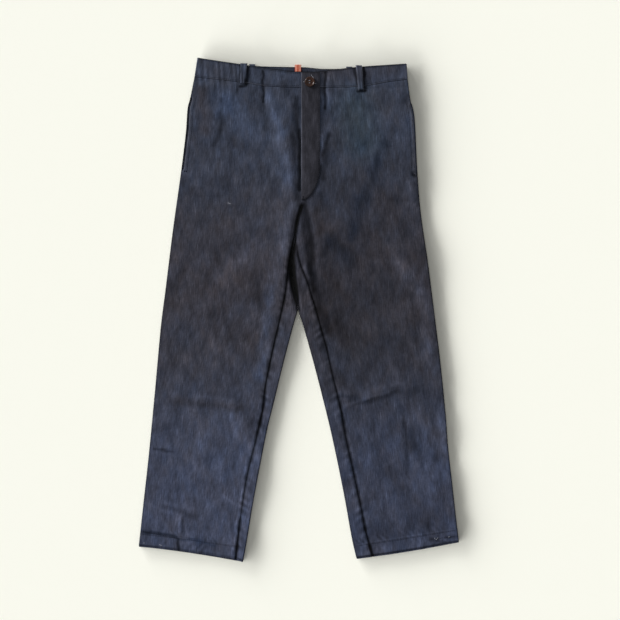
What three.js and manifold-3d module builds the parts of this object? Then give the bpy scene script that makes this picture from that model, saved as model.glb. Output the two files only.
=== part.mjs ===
// Work trousers laid flat on a table, front side up, in millimetres.
// +X is the wearer's left, +Y is towards the waist and +Z is up from the table.
// The origin is on the table, under the middle of the garment.
import * as THREE from "three";
import { mergeVertices } from "three/addons/utils/BufferGeometryUtils.js";
import Module from "manifold-3d";

// Cloth and seams
const CLOTH = 1.0; // one ply of heavy twill
const BAND_CLOTH = 1.8; // the waistband is two plies pressed together
const GAP = 0.3; // left between pieces at a seam
const WAIST_GAP = 0.45; // the same at the waistband, whose seam is slanted
const LAID_GAP = 0.4; // between a sewn-on piece and what it lies on
const FOLD_REACH = 1.4; // how far a pressed fold bulges sideways
const TABLE_MID = CLOTH / 2; // middle of the back's cloth where it lies on the table
const TOP_FLOOR = 1.85; // lowest middle of the cloth that lies over the back
const TOP_CEILING = 5.4; // highest middle, so that the legs lie nearly closed
const HEM_PLY = 0.7; // what the turned-up hem adds to the wall

// Waist
const BACK_BAND_MID = 2.3; // height of the back waistband, which lies on its belt loops
const BACK_RISE = { from: 382, to: 434 }; // y over which the back rises to its waistband
const FRONT_RISE = 345; // y from which the front's height nears that of the waistband
const BAND_DEPTH = 35; // finished depth of the back waistband
const FLY_EDGE = 5; // x of the fly's folded edge
const UNDERLAP_EDGE = 30; // x of the right front's edge, which lies under the fly
const FLY_LIFT = 1.6; // the left front lies this much above the right one
const BAND_LIFT = 2.3; // and so does its waistband
const FLY_END = 208; // y where the fly opening ends
const FLY_REACH = { low: 20, high: 3 }; // y over which the fly's lift ends, each side of FLY_END
const UNDERLAP_END = 245; // y where the underlap begins to narrow
const UNDERLAP_REACH = { from: 4, to: 30 }; // how far past the underlap its lift dies away
const CENTRE_BACK = -1.5; // x of the centre back seam
const SEAT_CLOSE = 30; // y over which the backs' inner edges leave the centre back seam
const CROTCH_Y = 148;

// Outlines of the two legs, a row for each height
const LEGS = {
  right: {
    outward: -1,
    side: [
      { y: 491, x: -197.5 },
      { y: 454, x: -203 },
      { y: 412, x: -211.5 },
      { y: 393, x: -216.5 },
      { y: 347, x: -220 },
      { y: 269, x: -229.5 },
      { y: 155, x: -245.5 },
      { y: 38, x: -260 },
      { y: -28, x: -268.5 },
      { y: -153, x: -280 },
      { y: -278, x: -292 },
      { y: -387, x: -304 },
      { y: -461.5, x: -312 },
    ],
    fold: [
      { y: 0, x: -1.65 },
      { y: -43, x: -14 },
      { y: -106, x: -30.5 },
      { y: -168, x: -45.5 },
      { y: -231, x: -61 },
      { y: -293, x: -73.5 },
      { y: -387, x: -91 },
      { y: -449, x: -101 },
      { y: -491, x: -108.5 },
    ],
    inseam: [
      { y: 148, x: -7.6 },
      { y: 116, x: -15 },
      { y: 87, x: -20 },
      { y: 60, x: -22.5 },
      { y: 25, x: -27.5 },
      { y: -12, x: -35.5 },
      { y: -69, x: -48.5 },
      { y: -104, x: -56 },
      { y: -153, x: -65.5 },
      { y: -188, x: -69 },
      { y: -246, x: -81.5 },
      { y: -328, x: -101 },
      { y: -414, x: -114.5 },
      { y: -491, x: -123.5 },
    ],
    hemBow: 2,
    mouth: { top: 414, bottom: 270 },
    tuck: 0.563,
  },
  left: {
    outward: 1,
    side: [
      { y: 479, x: 210 },
      { y: 448, x: 212.5 },
      { y: 409, x: 217.5 },
      { y: 393, x: 222.5 },
      { y: 370, x: 226 },
      { y: 269, x: 231 },
      { y: 191, x: 237.5 },
      { y: 97, x: 251 },
      { y: 3, x: 263 },
      { y: -98, x: 275.5 },
      { y: -207, x: 286.5 },
      { y: -262, x: 290.5 },
      { y: -348, x: 300 },
      { y: -453, x: 312 },
    ],
    fold: [
      { y: 0, x: -1.35 },
      { y: -43, x: 12 },
      { y: -106, x: 29.5 },
      { y: -168, x: 45.5 },
      { y: -231, x: 61 },
      { y: -293, x: 74.5 },
      { y: -371, x: 90 },
      { y: -449, x: 104 },
      { y: -485, x: 112.5 },
    ],
    inseam: [
      { y: 148, x: -6.4 },
      { y: 116, x: -3 },
      { y: 87, x: 4 },
      { y: 57, x: 16 },
      { y: 30, x: 24 },
      { y: 2, x: 33 },
      { y: -40, x: 44.5 },
      { y: -76, x: 54.5 },
      { y: -123, x: 65 },
      { y: -197, x: 83 },
      { y: -239, x: 90 },
      { y: -319, x: 107.5 },
      { y: -390, x: 122.5 },
      { y: -431, x: 130.5 },
      { y: -481, x: 144.5 },
    ],
    hemBow: -1.5,
    mouth: { top: 402, bottom: 263 },
    tuck: 0.783,
  },
};

// Heights of the rows of each leg at the side seam, at the centre back or inner
// fold, and at the centre front or inseam. The crotch row is the one at CROTCH_Y.
const SECTIONS = {
  right: [
    { outer: 453.5, back: 437, inner: 433.4, steps: 0, plies: 1 },
    { outer: 414, back: 390, inner: 396, steps: 3, plies: 1 },
    { outer: 340, back: 300, inner: 320, steps: 4, plies: 1 },
    { outer: 270, back: 190, inner: 245, steps: 4, plies: 1 },
    { outer: 225, back: 120, inner: 208, steps: 3, plies: 1 },
    { outer: 145, back: 0, inner: 148, steps: 4, plies: 1 },
    { outer: 55, back: -35, inner: 60, steps: 5, plies: 1 },
    { outer: -50, back: -80, inner: -45, steps: 4, plies: 1 },
    { outer: -148, back: -160, inner: -153, steps: 4, plies: 1 },
    { outer: -205, back: -216, inner: -212, steps: 5, plies: 1 },
    { outer: -360, back: -375, inner: -371, steps: 5, plies: 1 },
    { outer: -433, back: -462, inner: -457, steps: 4, plies: 1 },
    { outer: -436, back: -465, inner: -460, steps: 1, plies: 2 },
    { outer: -461.5, back: -491, inner: -486, steps: 1, plies: 2 },
  ],
  left: [
    { outer: 449, back: 437, inner: 433.4, steps: 0, plies: 1 },
    { outer: 402, back: 390, inner: 396, steps: 3, plies: 1 },
    { outer: 335, back: 300, inner: 320, steps: 4, plies: 1 },
    { outer: 263, back: 190, inner: 245, steps: 4, plies: 1 },
    { outer: 222, back: 120, inner: 208, steps: 3, plies: 1 },
    { outer: 145, back: 0, inner: 148, steps: 4, plies: 1 },
    { outer: 55, back: -35, inner: 60, steps: 5, plies: 1 },
    { outer: -50, back: -80, inner: -45, steps: 4, plies: 1 },
    { outer: -138, back: -150, inner: -145, steps: 4, plies: 1 },
    { outer: -188, back: -202, inner: -198, steps: 5, plies: 1 },
    { outer: -345, back: -372, inner: -367, steps: 5, plies: 1 },
    { outer: -425, back: -457, inner: -452, steps: 4, plies: 1 },
    { outer: -428, back: -460, inner: -455, steps: 1, plies: 2 },
    { outer: -453, back: -485, inner: -481, steps: 1, plies: 2 },
  ],
};
const CROTCH_ROW = 5;
const HEM_ROWS = { from: 11, to: 13 };
const BAND_ROWS = [0, 0.5, 1];
const SIDE_TURN = [0, 1 / 3, 2 / 3]; // shares of the quarter turn at the side seam
const COLUMNS = { front: 12, back: 10, fold: 5, strip: 4 }; // steps across each part of a panel
const TUCK_REACH = 0.03; // columns set close on both sides of a tuck in the front
const VALLEY_END = 1.2; // rows over which the strips leave the valley

// Seam line under the waistband, its top edges, and the front's height along it
const WAIST_SEAM = [
  { x: -203, y: 453.5 },
  { x: -177, y: 450.5 },
  { x: -115, y: 443.5 },
  { x: -72, y: 436.5 },
  { x: -35, y: 433.7 },
  { x: 5, y: 433.4 },
  { x: 94, y: 433.4 },
  { x: 133, y: 436.5 },
  { x: 166, y: 442.5 },
  { x: 212.5, y: 449 },
];
const FRONT_TOP = [
  { x: -197.5, y: 491 },
  { x: -115, y: 478 },
  { x: -85, y: 473.5 },
  { x: -27, y: 465 },
  { x: 5, y: 463 },
  { x: 40, y: 463 },
  { x: 73, y: 468 },
  { x: 112, y: 472.5 },
  { x: 210, y: 479.5 },
];
const BACK_TOP = [
  { x: -197.5, y: 491 },
  { x: -115, y: 479 },
  { x: -85, y: 475 },
  { x: -17, y: 473 },
  { x: 12, y: 472.5 },
  { x: 45, y: 469.5 },
  { x: 88, y: 470 },
  { x: 210, y: 479.5 },
];
const WAIST_HEIGHT = [
  { x: -204, z: 4.5 },
  { x: -150, z: 5.2 },
  { x: -90, z: 5.4 },
  { x: -72, z: 4.5 },
  { x: -54, z: 5.3 },
  { x: -20, z: 4.8 },
  { x: 0, z: 4.6 },
  { x: 35, z: 4.6 },
  { x: 52, z: 4.5 },
  { x: 66, z: 5.1 },
  { x: 150, z: 5.2 },
  { x: 213, z: 4.5 },
];
const RISE_SEAM = [
  { y: 210, x: 7.3 },
  { y: 187, x: 0.3 },
  { y: 161, x: -5.4 },
  { y: 148, x: -7 },
];
// The back rise seam on the front side, where the legs part
const VALLEY = [
  { y: 0, x: -1.5 },
  { y: 25, x: -5.4 },
  { y: 48, x: -9.7 },
  { y: 74, x: -12.6 },
  { y: 101, x: -12.6 },
  { y: 126, x: -10.2 },
  { y: 148, x: -7 },
];

// Largest folds: the line of each, its half width and its height, less than 0 for a trough
const FOLDS = [
  { x0: -71, y0: 436, x1: -68, y1: 400, width: 7, height: -1.2 },
  { x0: -58, y0: 408, x1: -30, y1: 325, width: 20, height: 1.3 },
  { x0: -30, y0: 325, x1: -14, y1: 230, width: 18, height: 1.2 },
  { x0: -5, y0: 390, x1: -3, y1: 225, width: 9, height: -1.4 },
  { x0: 52, y0: 436, x1: 54, y1: 395, width: 7, height: -1.2 },
  { x0: 66, y0: 410, x1: 58, y1: 300, width: 16, height: 1.0 },
  { x0: 46, y0: 300, x1: 34, y1: 240, width: 9, height: -0.9 },
  { x0: 13, y0: 200, x1: 24, y1: 120, width: 10, height: -1.9 },
  { x0: 24, y0: 120, x1: 36, y1: 30, width: 10, height: -1.9 },
  { x0: -12, y0: 190, x1: -36, y1: 60, width: 12, height: 1.0 },
  { x0: -264, y0: -172, x1: -190, y1: -178, width: 11, height: 1.3 },
  { x0: -190, y0: -178, x1: -128, y1: -187, width: 11, height: 1.5 },
  { x0: -128, y0: -187, x1: -98, y1: -214, width: 10, height: 1.3 },
  { x0: 84, y0: -166, x1: 135, y1: -172, width: 10, height: 1.3 },
  { x0: 135, y0: -172, x1: 184, y1: -153, width: 10, height: 1.4 },
  { x0: 184, y0: -153, x1: 276, y1: -160, width: 11, height: 1.4 },
  { x0: 205, y0: -205, x1: 221, y1: -350, width: 10, height: -0.9 },
  { x0: -298, y0: -378, x1: -208, y1: -402, width: 12, height: 1.0 },
  { x0: -250, y0: 250, x1: -120, y1: 60, width: 45, height: 0.9 },
  { x0: 150, y0: 300, x1: 70, y1: 150, width: 40, height: 0.9 },
  { x0: 250, y0: 80, x1: 190, y1: -60, width: 40, height: 0.8 },
];
const FOLD_FADE = 1.6; // a fold reaches this many half widths from its line
const REST_HEIGHT = 3.0; // middle of the front's cloth away from folds
const EDGE_LIFT = 0.6; // the front rises this much towards each pressed edge
const EDGE_REACH = 18;
const CROTCH_LOFT = { x: -6, y: 85, rx: 75, ry: 120, height: 2.0 };
const VALLEY_FOLD = { width: 6.5, height: -3.0, start: -20, full: 15, end: 208 };

// Side pockets
const MOUTH_INSET = 5; // how far the mouth's front edge lies in from the side
const MOUTH_LIFT = 0.5; // and stands up from the bag
const MOUTH_ENDS = { outside: 4, inside: 6 }; // y over which the mouth opens at each end
const BAG = { near: 9, far: 62, above: 4, below: 18, margin: 20, fade: 26 };
const BAG_STEP = CLOTH + GAP + 0.05; // between the middles of plies that lie on each other

// Small pieces
const PLACKET = { width: 36, tip: 3, curveTop: 282, bottom: 214, inset: 0.5, lift: 1.6, dip: 15, clear: 4 };
const LOOP = { thick: 1.0, endThick: 1.8, end: 0.12, arch: 3.0, overTop: 2.5 };
const FRONT_LOOPS = [
  { name: "belt_loop_front_right", x: -108, lean: 2.4, lowWidth: 9, highWidth: 13.5, belowSeam: 2 },
  { name: "belt_loop_front_left", x: 119, lean: -4.5, lowWidth: 11, highWidth: 12, belowSeam: 9 },
];
const BACK_LOOP = { width: 11.5, thick: 1.0, overTop: 3.5, belowSeam: 2 };
const BACK_LOOPS = [
  { name: "belt_loop_back_right", x: -91 },
  { name: "belt_loop_back_left", x: 98 },
];
const BUTTON = { x: 21.5, y: 443, radius: 10, edge: 1.4, thick: 3.2, rim: 2.6, dish: 1.1 };
const BUTTON_HOLE = { radius: 1.1, spread: 2.2 };
const BUTTON_LIFT = 0.8; // the button stands this much over the placket, on its threads
const LABEL = { x: -1.5, width: 12, above: 4.5, below: 0.3, thick: 1.0 };

const COLOURS = {
  twill: 0x393e4d,
  placket: 0x303239,
  bag: 0x3b3d45,
  label: 0xa8533a,
  button: 0x2b1a14,
};

// Interpolation

const clamp01 = (t) => Math.min(1, Math.max(0, t));
const ease = (t) => clamp01(t) ** 2 * (3 - 2 * clamp01(t));
const ramp = (from, to, value) => ease((value - from) / (to - from));
const mix = THREE.MathUtils.lerp;

/** A smooth function through the rows of a table, from one column to another. */
function through(rows, from, to) {
  const sorted = [...rows].sort((a, b) => a[from] - b[from]);
  const at = sorted.map((row) => row[from]);
  const value = sorted.map((row) => row[to]);
  const last = at.length - 1;
  const slope = at.map((_, i) => {
    const a = Math.max(0, i - 1);
    const b = Math.min(last, i + 1);
    return (value[b] - value[a]) / (at[b] - at[a]);
  });
  return (x) => {
    if (x <= at[0]) return value[0] + slope[0] * (x - at[0]);
    if (x >= at[last]) return value[last] + slope[last] * (x - at[last]);
    const i = at.findIndex((a, k) => x >= a && x <= at[k + 1]);
    const span = at[i + 1] - at[i];
    const t = (x - at[i]) / span;
    const t2 = t * t;
    const t3 = t2 * t;
    return (
      (2 * t3 - 3 * t2 + 1) * value[i] +
      (t3 - 2 * t2 + t) * span * slope[i] +
      (3 * t2 - 2 * t3) * value[i + 1] +
      (t3 - t2) * span * slope[i + 1]
    );
  };
}

for (const leg of Object.values(LEGS)) {
  leg.sideAt = through(leg.side, "y", "x");
  leg.foldAt = through(leg.fold, "y", "x");
  leg.inseamAt = through(leg.inseam, "y", "x");
}
const seamY = through(WAIST_SEAM, "x", "y");
const frontTopY = through(FRONT_TOP, "x", "y");
const backTopY = through(BACK_TOP, "x", "y");
const waistHeight = through(WAIST_HEIGHT, "x", "z");
const riseX = through(RISE_SEAM, "y", "x");
const valleyX = through(VALLEY, "y", "x");

// Heights

/** 1 on a fold's line, falling smoothly to 0 at its half width and past its ends. */
function foldShape(fold, x, y) {
  const dx = fold.x1 - fold.x0;
  const dy = fold.y1 - fold.y0;
  const t = clamp01(((x - fold.x0) * dx + (y - fold.y0) * dy) / (dx * dx + dy * dy));
  const away = Math.hypot(x - fold.x0 - t * dx, y - fold.y0 - t * dy);
  return 1 - ease(away / (FOLD_FADE * fold.width));
}

/** 1 over a pocket bag, falling to 0 around it. */
function overBag(leg, x, y) {
  const inward = (leg.sideAt(y) - x) * leg.outward;
  const across = 1 - ramp(BAG.far + BAG.margin, BAG.far + BAG.margin + BAG.fade, inward);
  const low = leg.mouth.bottom - BAG.below - BAG.margin;
  const up = ramp(low - BAG.fade, low, y);
  const down = 1 - ramp(leg.mouth.top + BAG.margin, leg.mouth.top + BAG.margin + BAG.fade, y);
  return across * up * down;
}

/** Height of the middle of the front's cloth, and of the back's where it folds over. */
function topHeight(x, y) {
  const leg = x < valleyX(THREE.MathUtils.clamp(y, 0, CROTCH_Y)) ? LEGS.right : LEGS.left;
  const edge = (away) => Math.exp(-((away / EDGE_REACH) ** 2));
  const fromSide = Math.abs(leg.sideAt(y) - x);
  const fromFold = y < 0 ? Math.abs(leg.foldAt(y) - x) : Infinity;
  let z = REST_HEIGHT + EDGE_LIFT * Math.max(edge(fromSide), edge(fromFold));
  for (const fold of FOLDS) z += fold.height * foldShape(fold, x, y);
  const loft = CROTCH_LOFT;
  z += loft.height * (1 - ease(Math.hypot((x - loft.x) / loft.rx, (y - loft.y) / loft.ry)));
  z = THREE.MathUtils.clamp(z, TOP_FLOOR, TOP_CEILING);
  const valley = VALLEY_FOLD;
  if (y > valley.start && y < valley.end) {
    const line = y > CROTCH_Y ? riseX(y) : valleyX(Math.max(0, y));
    const strength = ramp(valley.start, valley.full, y) * (1 - ramp(CROTCH_Y, valley.end, y));
    z += valley.height * strength * (1 - ease(Math.abs(x - line) / (FOLD_FADE * valley.width)));
  }
  const overBags = Math.max(overBag(LEGS.right, x, y), overBag(LEGS.left, x, y));
  const overTwoPlies = underHeight(y) + 3 * BAG_STEP;
  const floor = mix(TOP_FLOOR, overTwoPlies, overBags);
  z = Math.max(z, floor);
  const nearWaist = ramp(FRONT_RISE, seamY(x), y);
  return Math.max(mix(z, waistHeight(x), nearWaist), floor);
}

/** Height of the middle of the back's cloth, which rises over the belt loops at the waist. */
const underHeight = (y) => mix(TABLE_MID, BACK_BAND_MID, ramp(BACK_RISE.from, BACK_RISE.to, y));

/** How far the left front and its waistband are lifted by the right front's underlap. */
const overUnderlap = (x) => 1 - ramp(UNDERLAP_REACH.from, UNDERLAP_REACH.to, x - UNDERLAP_EDGE);
const aboveFlyEnd = (y) => ramp(-FLY_REACH.low, FLY_REACH.high, y - FLY_END);
const flyLift = (x, y) => FLY_LIFT * overUnderlap(x) * aboveFlyEnd(y);
const bandLift = (x) => BAND_LIFT * overUnderlap(x);

// Sheets of cloth

const UP = new THREE.Vector3(0, 0, 1);
const DOWN = new THREE.Vector3(0, 0, -1);

/** A point of a sheet: where its middle is, which way its outer face looks, and its thickness. */
function cloth(x, y, z, out = UP, thick = CLOTH) {
  return { at: new THREE.Vector3(x, y, z), out, thick };
}

/** A closed solid from grids of cloth points, which share their points where they meet. */
function sheetGeometry(...grids) {
  const points = [];
  const known = new Map();
  const indexOf = (point) => {
    const key = point.at.toArray().map((v) => v.toFixed(3)).join();
    if (!known.has(key)) known.set(key, points.push(point) - 1);
    return known.get(key);
  };
  const faces = [];
  for (const rows of grids) {
    const ids = rows.map((row) => row.map(indexOf));
    for (let r = 0; r + 1 < ids.length; r++) {
      for (let c = 0; c + 1 < ids[r].length; c++) {
        faces.push([ids[r][c], ids[r + 1][c], ids[r + 1][c + 1]]);
        faces.push([ids[r][c], ids[r + 1][c + 1], ids[r][c + 1]]);
      }
    }
  }
  const real = faces.filter(([a, b, c]) => a !== b && b !== c && c !== a);
  const facing = real.reduce((sum, [a, b, c]) => {
    const ab = points[b].at.clone().sub(points[a].at);
    const ac = points[c].at.clone().sub(points[a].at);
    return sum + ab.cross(ac).dot(points[a].out);
  }, 0);
  const outer = facing > 0 ? real : real.map(([a, b, c]) => [a, c, b]);
  const count = points.length;
  const position = [1, -1].flatMap((side) =>
    points.flatMap((p) => p.at.clone().addScaledVector(p.out, (side * p.thick) / 2).toArray()),
  );
  const index = outer.flatMap(([a, b, c]) => [a, b, c, a + count, c + count, b + count]);
  const edges = new Set(outer.flatMap(([a, b, c]) => [`${a},${b}`, `${b},${c}`, `${c},${a}`]));
  for (const edge of edges) {
    const [a, b] = edge.split(",").map(Number);
    if (!edges.has(`${b},${a}`)) index.push(a, a + count, b, b, a + count, b + count);
  }
  const geometry = new THREE.BufferGeometry();
  geometry.setAttribute("position", new THREE.Float32BufferAttribute(position, 3));
  geometry.setIndex(index);
  geometry.computeVertexNormals();
  return geometry;
}

/** Shares from 0 to 1 in equal steps, with any extra ones put in their order. */
function shares(steps, extra = []) {
  const even = Array.from({ length: steps + 1 }, (_, i) => i / steps);
  return [...even.filter((e) => extra.every((x) => Math.abs(x - e) > 0.012)), ...extra].sort(
    (a, b) => a - b,
  );
}

/** The rows of a leg, from the waist to the hem, with the place of each in the table. */
function legRows(side) {
  const table = SECTIONS[side];
  const rows = [{ ...table[0], place: 0 }];
  for (let i = 1; i < table.length; i++) {
    for (let k = 1; k <= table[i].steps; k++) {
      const t = k / table[i].steps;
      rows.push({
        outer: mix(table[i - 1].outer, table[i].outer, t),
        back: mix(table[i - 1].back, table[i].back, t),
        inner: mix(table[i - 1].inner, table[i].inner, t),
        plies: table[i].plies,
        place: i - 1 + t,
      });
    }
  }
  return rows;
}

const thickness = (row) => CLOTH + HEM_PLY * (row.plies - 1);
const topMid = (x, y, row) => topHeight(x, y) + (row.plies - 1) * (1.5 * HEM_PLY);
const underMid = (y, row) => underHeight(y) + (row.plies - 1) * (HEM_PLY / 2);

/** How open the pocket's mouth is at a height, from 0 to 1. */
function mouthAt(leg, y) {
  const { top, bottom } = leg.mouth;
  const { outside, inside } = MOUTH_ENDS;
  return ramp(bottom - outside, bottom + inside, y) * (1 - ramp(top - inside, top + outside, y));
}

/** The waistband's lower edge, on the front where round is 0 and on the back where it is 1. */
const bandLow = (x, round) => mix(seamY(x), backTopY(x) - BAND_DEPTH, round);

/** The height of a point in a row, bent onto the waistband's edge or onto the hem's curve. */
function rowHeight(row, leg, share, inner, x, round) {
  const ends = (of) => [of.outer, of[inner]];
  const table = SECTIONS[leg.outward < 0 ? "right" : "left"];
  const toWaist = 1 - ramp(0, 1.6, row.place);
  const drop = bandLow(x, round) - WAIST_GAP - mix(...ends(table[0]), share);
  const toHem = ramp(HEM_ROWS.from, HEM_ROWS.to, row.place);
  const bow = leg.hemBow * Math.sin(Math.PI * share);
  return mix(...ends(row), share) + drop * toWaist + bow * toHem;
}

const aroundTuck = (leg) => [leg.tuck - TUCK_REACH, leg.tuck, leg.tuck + TUCK_REACH];

/** The inner edge of a front: fly or underlap, then rise seam, then inseam. */
function frontInner(leg, y) {
  if (y <= CROTCH_Y) return leg.inseamAt(y) + (leg.outward * GAP) / 2;
  const seam = riseX(Math.min(y, FLY_END)) + (leg.outward * GAP) / 2;
  if (leg.outward > 0) return y > FLY_END ? FLY_EDGE : seam;
  return mix(seam, UNDERLAP_EDGE, ramp(FLY_END + FLY_REACH.high, UNDERLAP_END, y));
}

function frontPanel(side) {
  const leg = LEGS[side];
  const rows = legRows(side).map((row) => {
    const y = row.outer;
    const thick = thickness(row);
    const sideX = leg.sideAt(y) - (leg.outward * thick) / 2;
    const open = mouthAt(leg, y);
    const startX = sideX - leg.outward * FOLD_REACH;
    const startZ = topMid(startX, y, row) + MOUTH_LIFT * open;
    const seamZ = (topMid(startX, y, row) + underMid(y, row)) / 2 + GAP / 2;
    const turn = SIDE_TURN.map((share) => {
      const angle = (share * Math.PI) / 2;
      const turnX = sideX - leg.outward * FOLD_REACH * (1 - Math.cos(angle));
      const turnY = rowHeight(row, leg, 0, "inner", turnX, (1 - share) / 2);
      const closed = new THREE.Vector3(turnX, turnY, mix(seamZ, startZ, Math.sin(angle)));
      const openX = sideX - leg.outward * (MOUTH_INSET + share * FOLD_REACH);
      const opened = new THREE.Vector3(openX, turnY, startZ);
      const out = new THREE.Vector3(leg.outward * Math.cos(angle), 0, Math.sin(angle));
      const at = closed.lerp(opened, open);
      return cloth(at.x, at.y, at.z, out.lerp(UP, open).normalize(), thick);
    });
    const fromX = startX - leg.outward * MOUTH_INSET * open;
    const toX = frontInner(leg, row.inner);
    const across = shares(COLUMNS.front, aroundTuck(leg)).map((share) => {
      const x = mix(fromX, toX, share);
      const rowY = rowHeight(row, leg, share, "inner", x, 0);
      const overFly = leg.outward > 0 ? flyLift(x, rowY) : 0;
      const overMouth = MOUTH_LIFT * open * (1 - ease(4 * share));
      return cloth(x, rowY, topMid(x, rowY, row) + overFly + overMouth, UP, thick);
    });
    return [...turn, ...across];
  });
  return sheetGeometry(rows);
}

function backPanel(side) {
  const leg = LEGS[side];
  const inward = -leg.outward;
  const ownSide = (leg.outward * GAP) / 2;
  const underRow = (row) => {
    const y = row.outer;
    const thick = thickness(row);
    const sideX = leg.sideAt(y) - (leg.outward * thick) / 2;
    const startX = sideX + inward * FOLD_REACH;
    const seamZ = (topMid(startX, y, row) + underMid(y, row)) / 2 - GAP / 2;
    const turn = SIDE_TURN.map((share) => {
      const angle = (share * Math.PI) / 2;
      const out = new THREE.Vector3(leg.outward * Math.cos(angle), 0, -Math.sin(angle));
      const x = sideX + inward * FOLD_REACH * (1 - Math.cos(angle));
      const turnY = rowHeight(row, leg, 0, "back", x, (1 + share) / 2);
      return cloth(x, turnY, mix(seamZ, underMid(y, row), Math.sin(angle)), out, thick);
    });
    const foldX = leg.foldAt(Math.min(0, row.back)) + leg.outward * (thick / 2 + FOLD_REACH);
    const innerX = mix(foldX, CENTRE_BACK + ownSide, ramp(0, SEAT_CLOSE, row.back));
    const across = shares(COLUMNS.back).map((share) => {
      const x = mix(startX, innerX, share);
      const rowY = rowHeight(row, leg, share, "back", x, 1);
      return cloth(x, rowY, underMid(rowY, row), DOWN, thick);
    });
    return [...turn, ...across];
  };
  const overRow = (row) => {
    const thick = thickness(row);
    const y = row.back;
    const turnX = leg.foldAt(y) + leg.outward * (thick / 2 + FOLD_REACH);
    const lowZ = underMid(y, row);
    const highZ = topMid(turnX, y, row);
    const turn = shares(COLUMNS.fold).slice(1).map((share) => {
      const angle = (share - 0.5) * Math.PI;
      const out = new THREE.Vector3(inward * Math.cos(angle), 0, Math.sin(angle));
      const z = (lowZ + highZ) / 2 + ((highZ - lowZ) / 2) * Math.sin(angle);
      return cloth(turnX + inward * FOLD_REACH * Math.cos(angle), y, z, out, thick);
    });
    const seamX = leg.inseamAt(row.inner) - (leg.outward * GAP) / 2;
    const inValley = 1 - ramp(CROTCH_ROW, CROTCH_ROW + VALLEY_END, row.place);
    const strip = shares(COLUMNS.strip).slice(1).map((share) => {
      const rowY = mix(y, row.inner, share);
      const straight = mix(turnX, seamX, share);
      const rise = valleyX(THREE.MathUtils.clamp(rowY, 0, CROTCH_Y)) + leg.outward * GAP;
      const valley = mix(rise, seamX, ramp(0.8, 1, share));
      const blended = mix(straight, mix(turnX, valley, ramp(0, 1 / COLUMNS.strip, share)), inValley);
      const x = leg.outward * Math.max(leg.outward * blended, leg.outward * rise);
      return cloth(x, rowY, topMid(x, rowY, row), UP, thick);
    });
    return [...turn, ...strip];
  };
  const rows = legRows(side);
  const seatRows = rows.filter((row) => row.place <= CROTCH_ROW);
  const lowerRows = rows.filter((row) => row.place >= CROTCH_ROW);
  return sheetGeometry(
    seatRows.map(underRow),
    lowerRows.map((row) => [...underRow(row), ...overRow(row)]),
  );
}

/** One half of the waistband, from the fly round the side to the centre back. */
function waistband(side) {
  const leg = LEGS[side];
  const isLeft = leg.outward > 0;
  const flyEnd = isLeft ? FLY_EDGE : UNDERLAP_EDGE;
  const backEnd = CENTRE_BACK + (leg.outward * GAP) / 2;
  const lowX = leg.sideAt(SECTIONS[side][0].outer);
  const highX = leg.side[0].x;
  const sideX = (up) => mix(lowX, highX, up) - (leg.outward * BAND_CLOTH) / 2;
  const turnX = (up) => sideX(up) - leg.outward * FOLD_REACH;
  const frontZ = (x) => {
    const clear = Math.max(waistHeight(x), BACK_BAND_MID + BAND_CLOTH + GAP);
    return clear + (isLeft ? bandLift(x) : 0);
  };
  const column = (xAt, round, z, out) =>
    BAND_ROWS.map((up) => {
      const x = xAt(up);
      const high = mix(frontTopY(x), backTopY(x), round);
      return cloth(x, mix(bandLow(x, round), high, up), z, out, BAND_CLOTH);
    });

  const front = shares(14, aroundTuck(leg)).map((share) => {
    const z = frontZ(mix(turnX(0.5), flyEnd, share));
    return column((up) => mix(turnX(up), flyEnd, share), 0, z, UP);
  });
  const startZ = frontZ(turnX(0.5));
  const turn = shares(6).slice(1, -1).map((share) => {
    const angle = (0.5 - share) * Math.PI;
    const out = new THREE.Vector3(leg.outward * Math.cos(angle), 0, Math.sin(angle));
    const z = (startZ + BACK_BAND_MID) / 2 + ((startZ - BACK_BAND_MID) / 2) * Math.sin(angle);
    const bulge = leg.outward * FOLD_REACH * (1 - Math.cos(angle));
    return column((up) => sideX(up) - bulge, share, z, out);
  });
  const back = shares(10).map((share) =>
    column((up) => mix(turnX(up), backEnd, share), 1, BACK_BAND_MID, DOWN),
  );
  return sheetGeometry([...front.reverse(), ...turn, ...back]);
}

/** The placket over the fly, from the waist's top edge to where the opening ends. */
function flyPlacket() {
  const overBand = BAND_LIFT + (BAND_CLOTH + CLOTH) / 2 + LAID_GAP;
  const rows = shares(16).map((down) => {
    const edgeY = mix(frontTopY(FLY_EDGE) - PLACKET.inset, PLACKET.bottom, down);
    const toTip = clamp01((PLACKET.curveTop - edgeY) / (PLACKET.curveTop - PLACKET.bottom));
    const width = Math.max(PLACKET.tip, PLACKET.width * Math.sqrt(1 - toTip ** 2));
    return shares(3).map((across) => {
      const x = FLY_EDGE + width * across;
      const y = mix(frontTopY(x) - PLACKET.inset, PLACKET.bottom, down);
      const onPanel = topHeight(x, Math.min(y, seamY(x))) + flyLift(x, y) + PLACKET.lift;
      const onBand = Math.max(onPanel, waistHeight(x) + overBand);
      return cloth(x, y, mix(onPanel, onBand, ramp(-PLACKET.dip, -PLACKET.clear, y - seamY(x))));
    });
  });
  return sheetGeometry(rows);
}

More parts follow.
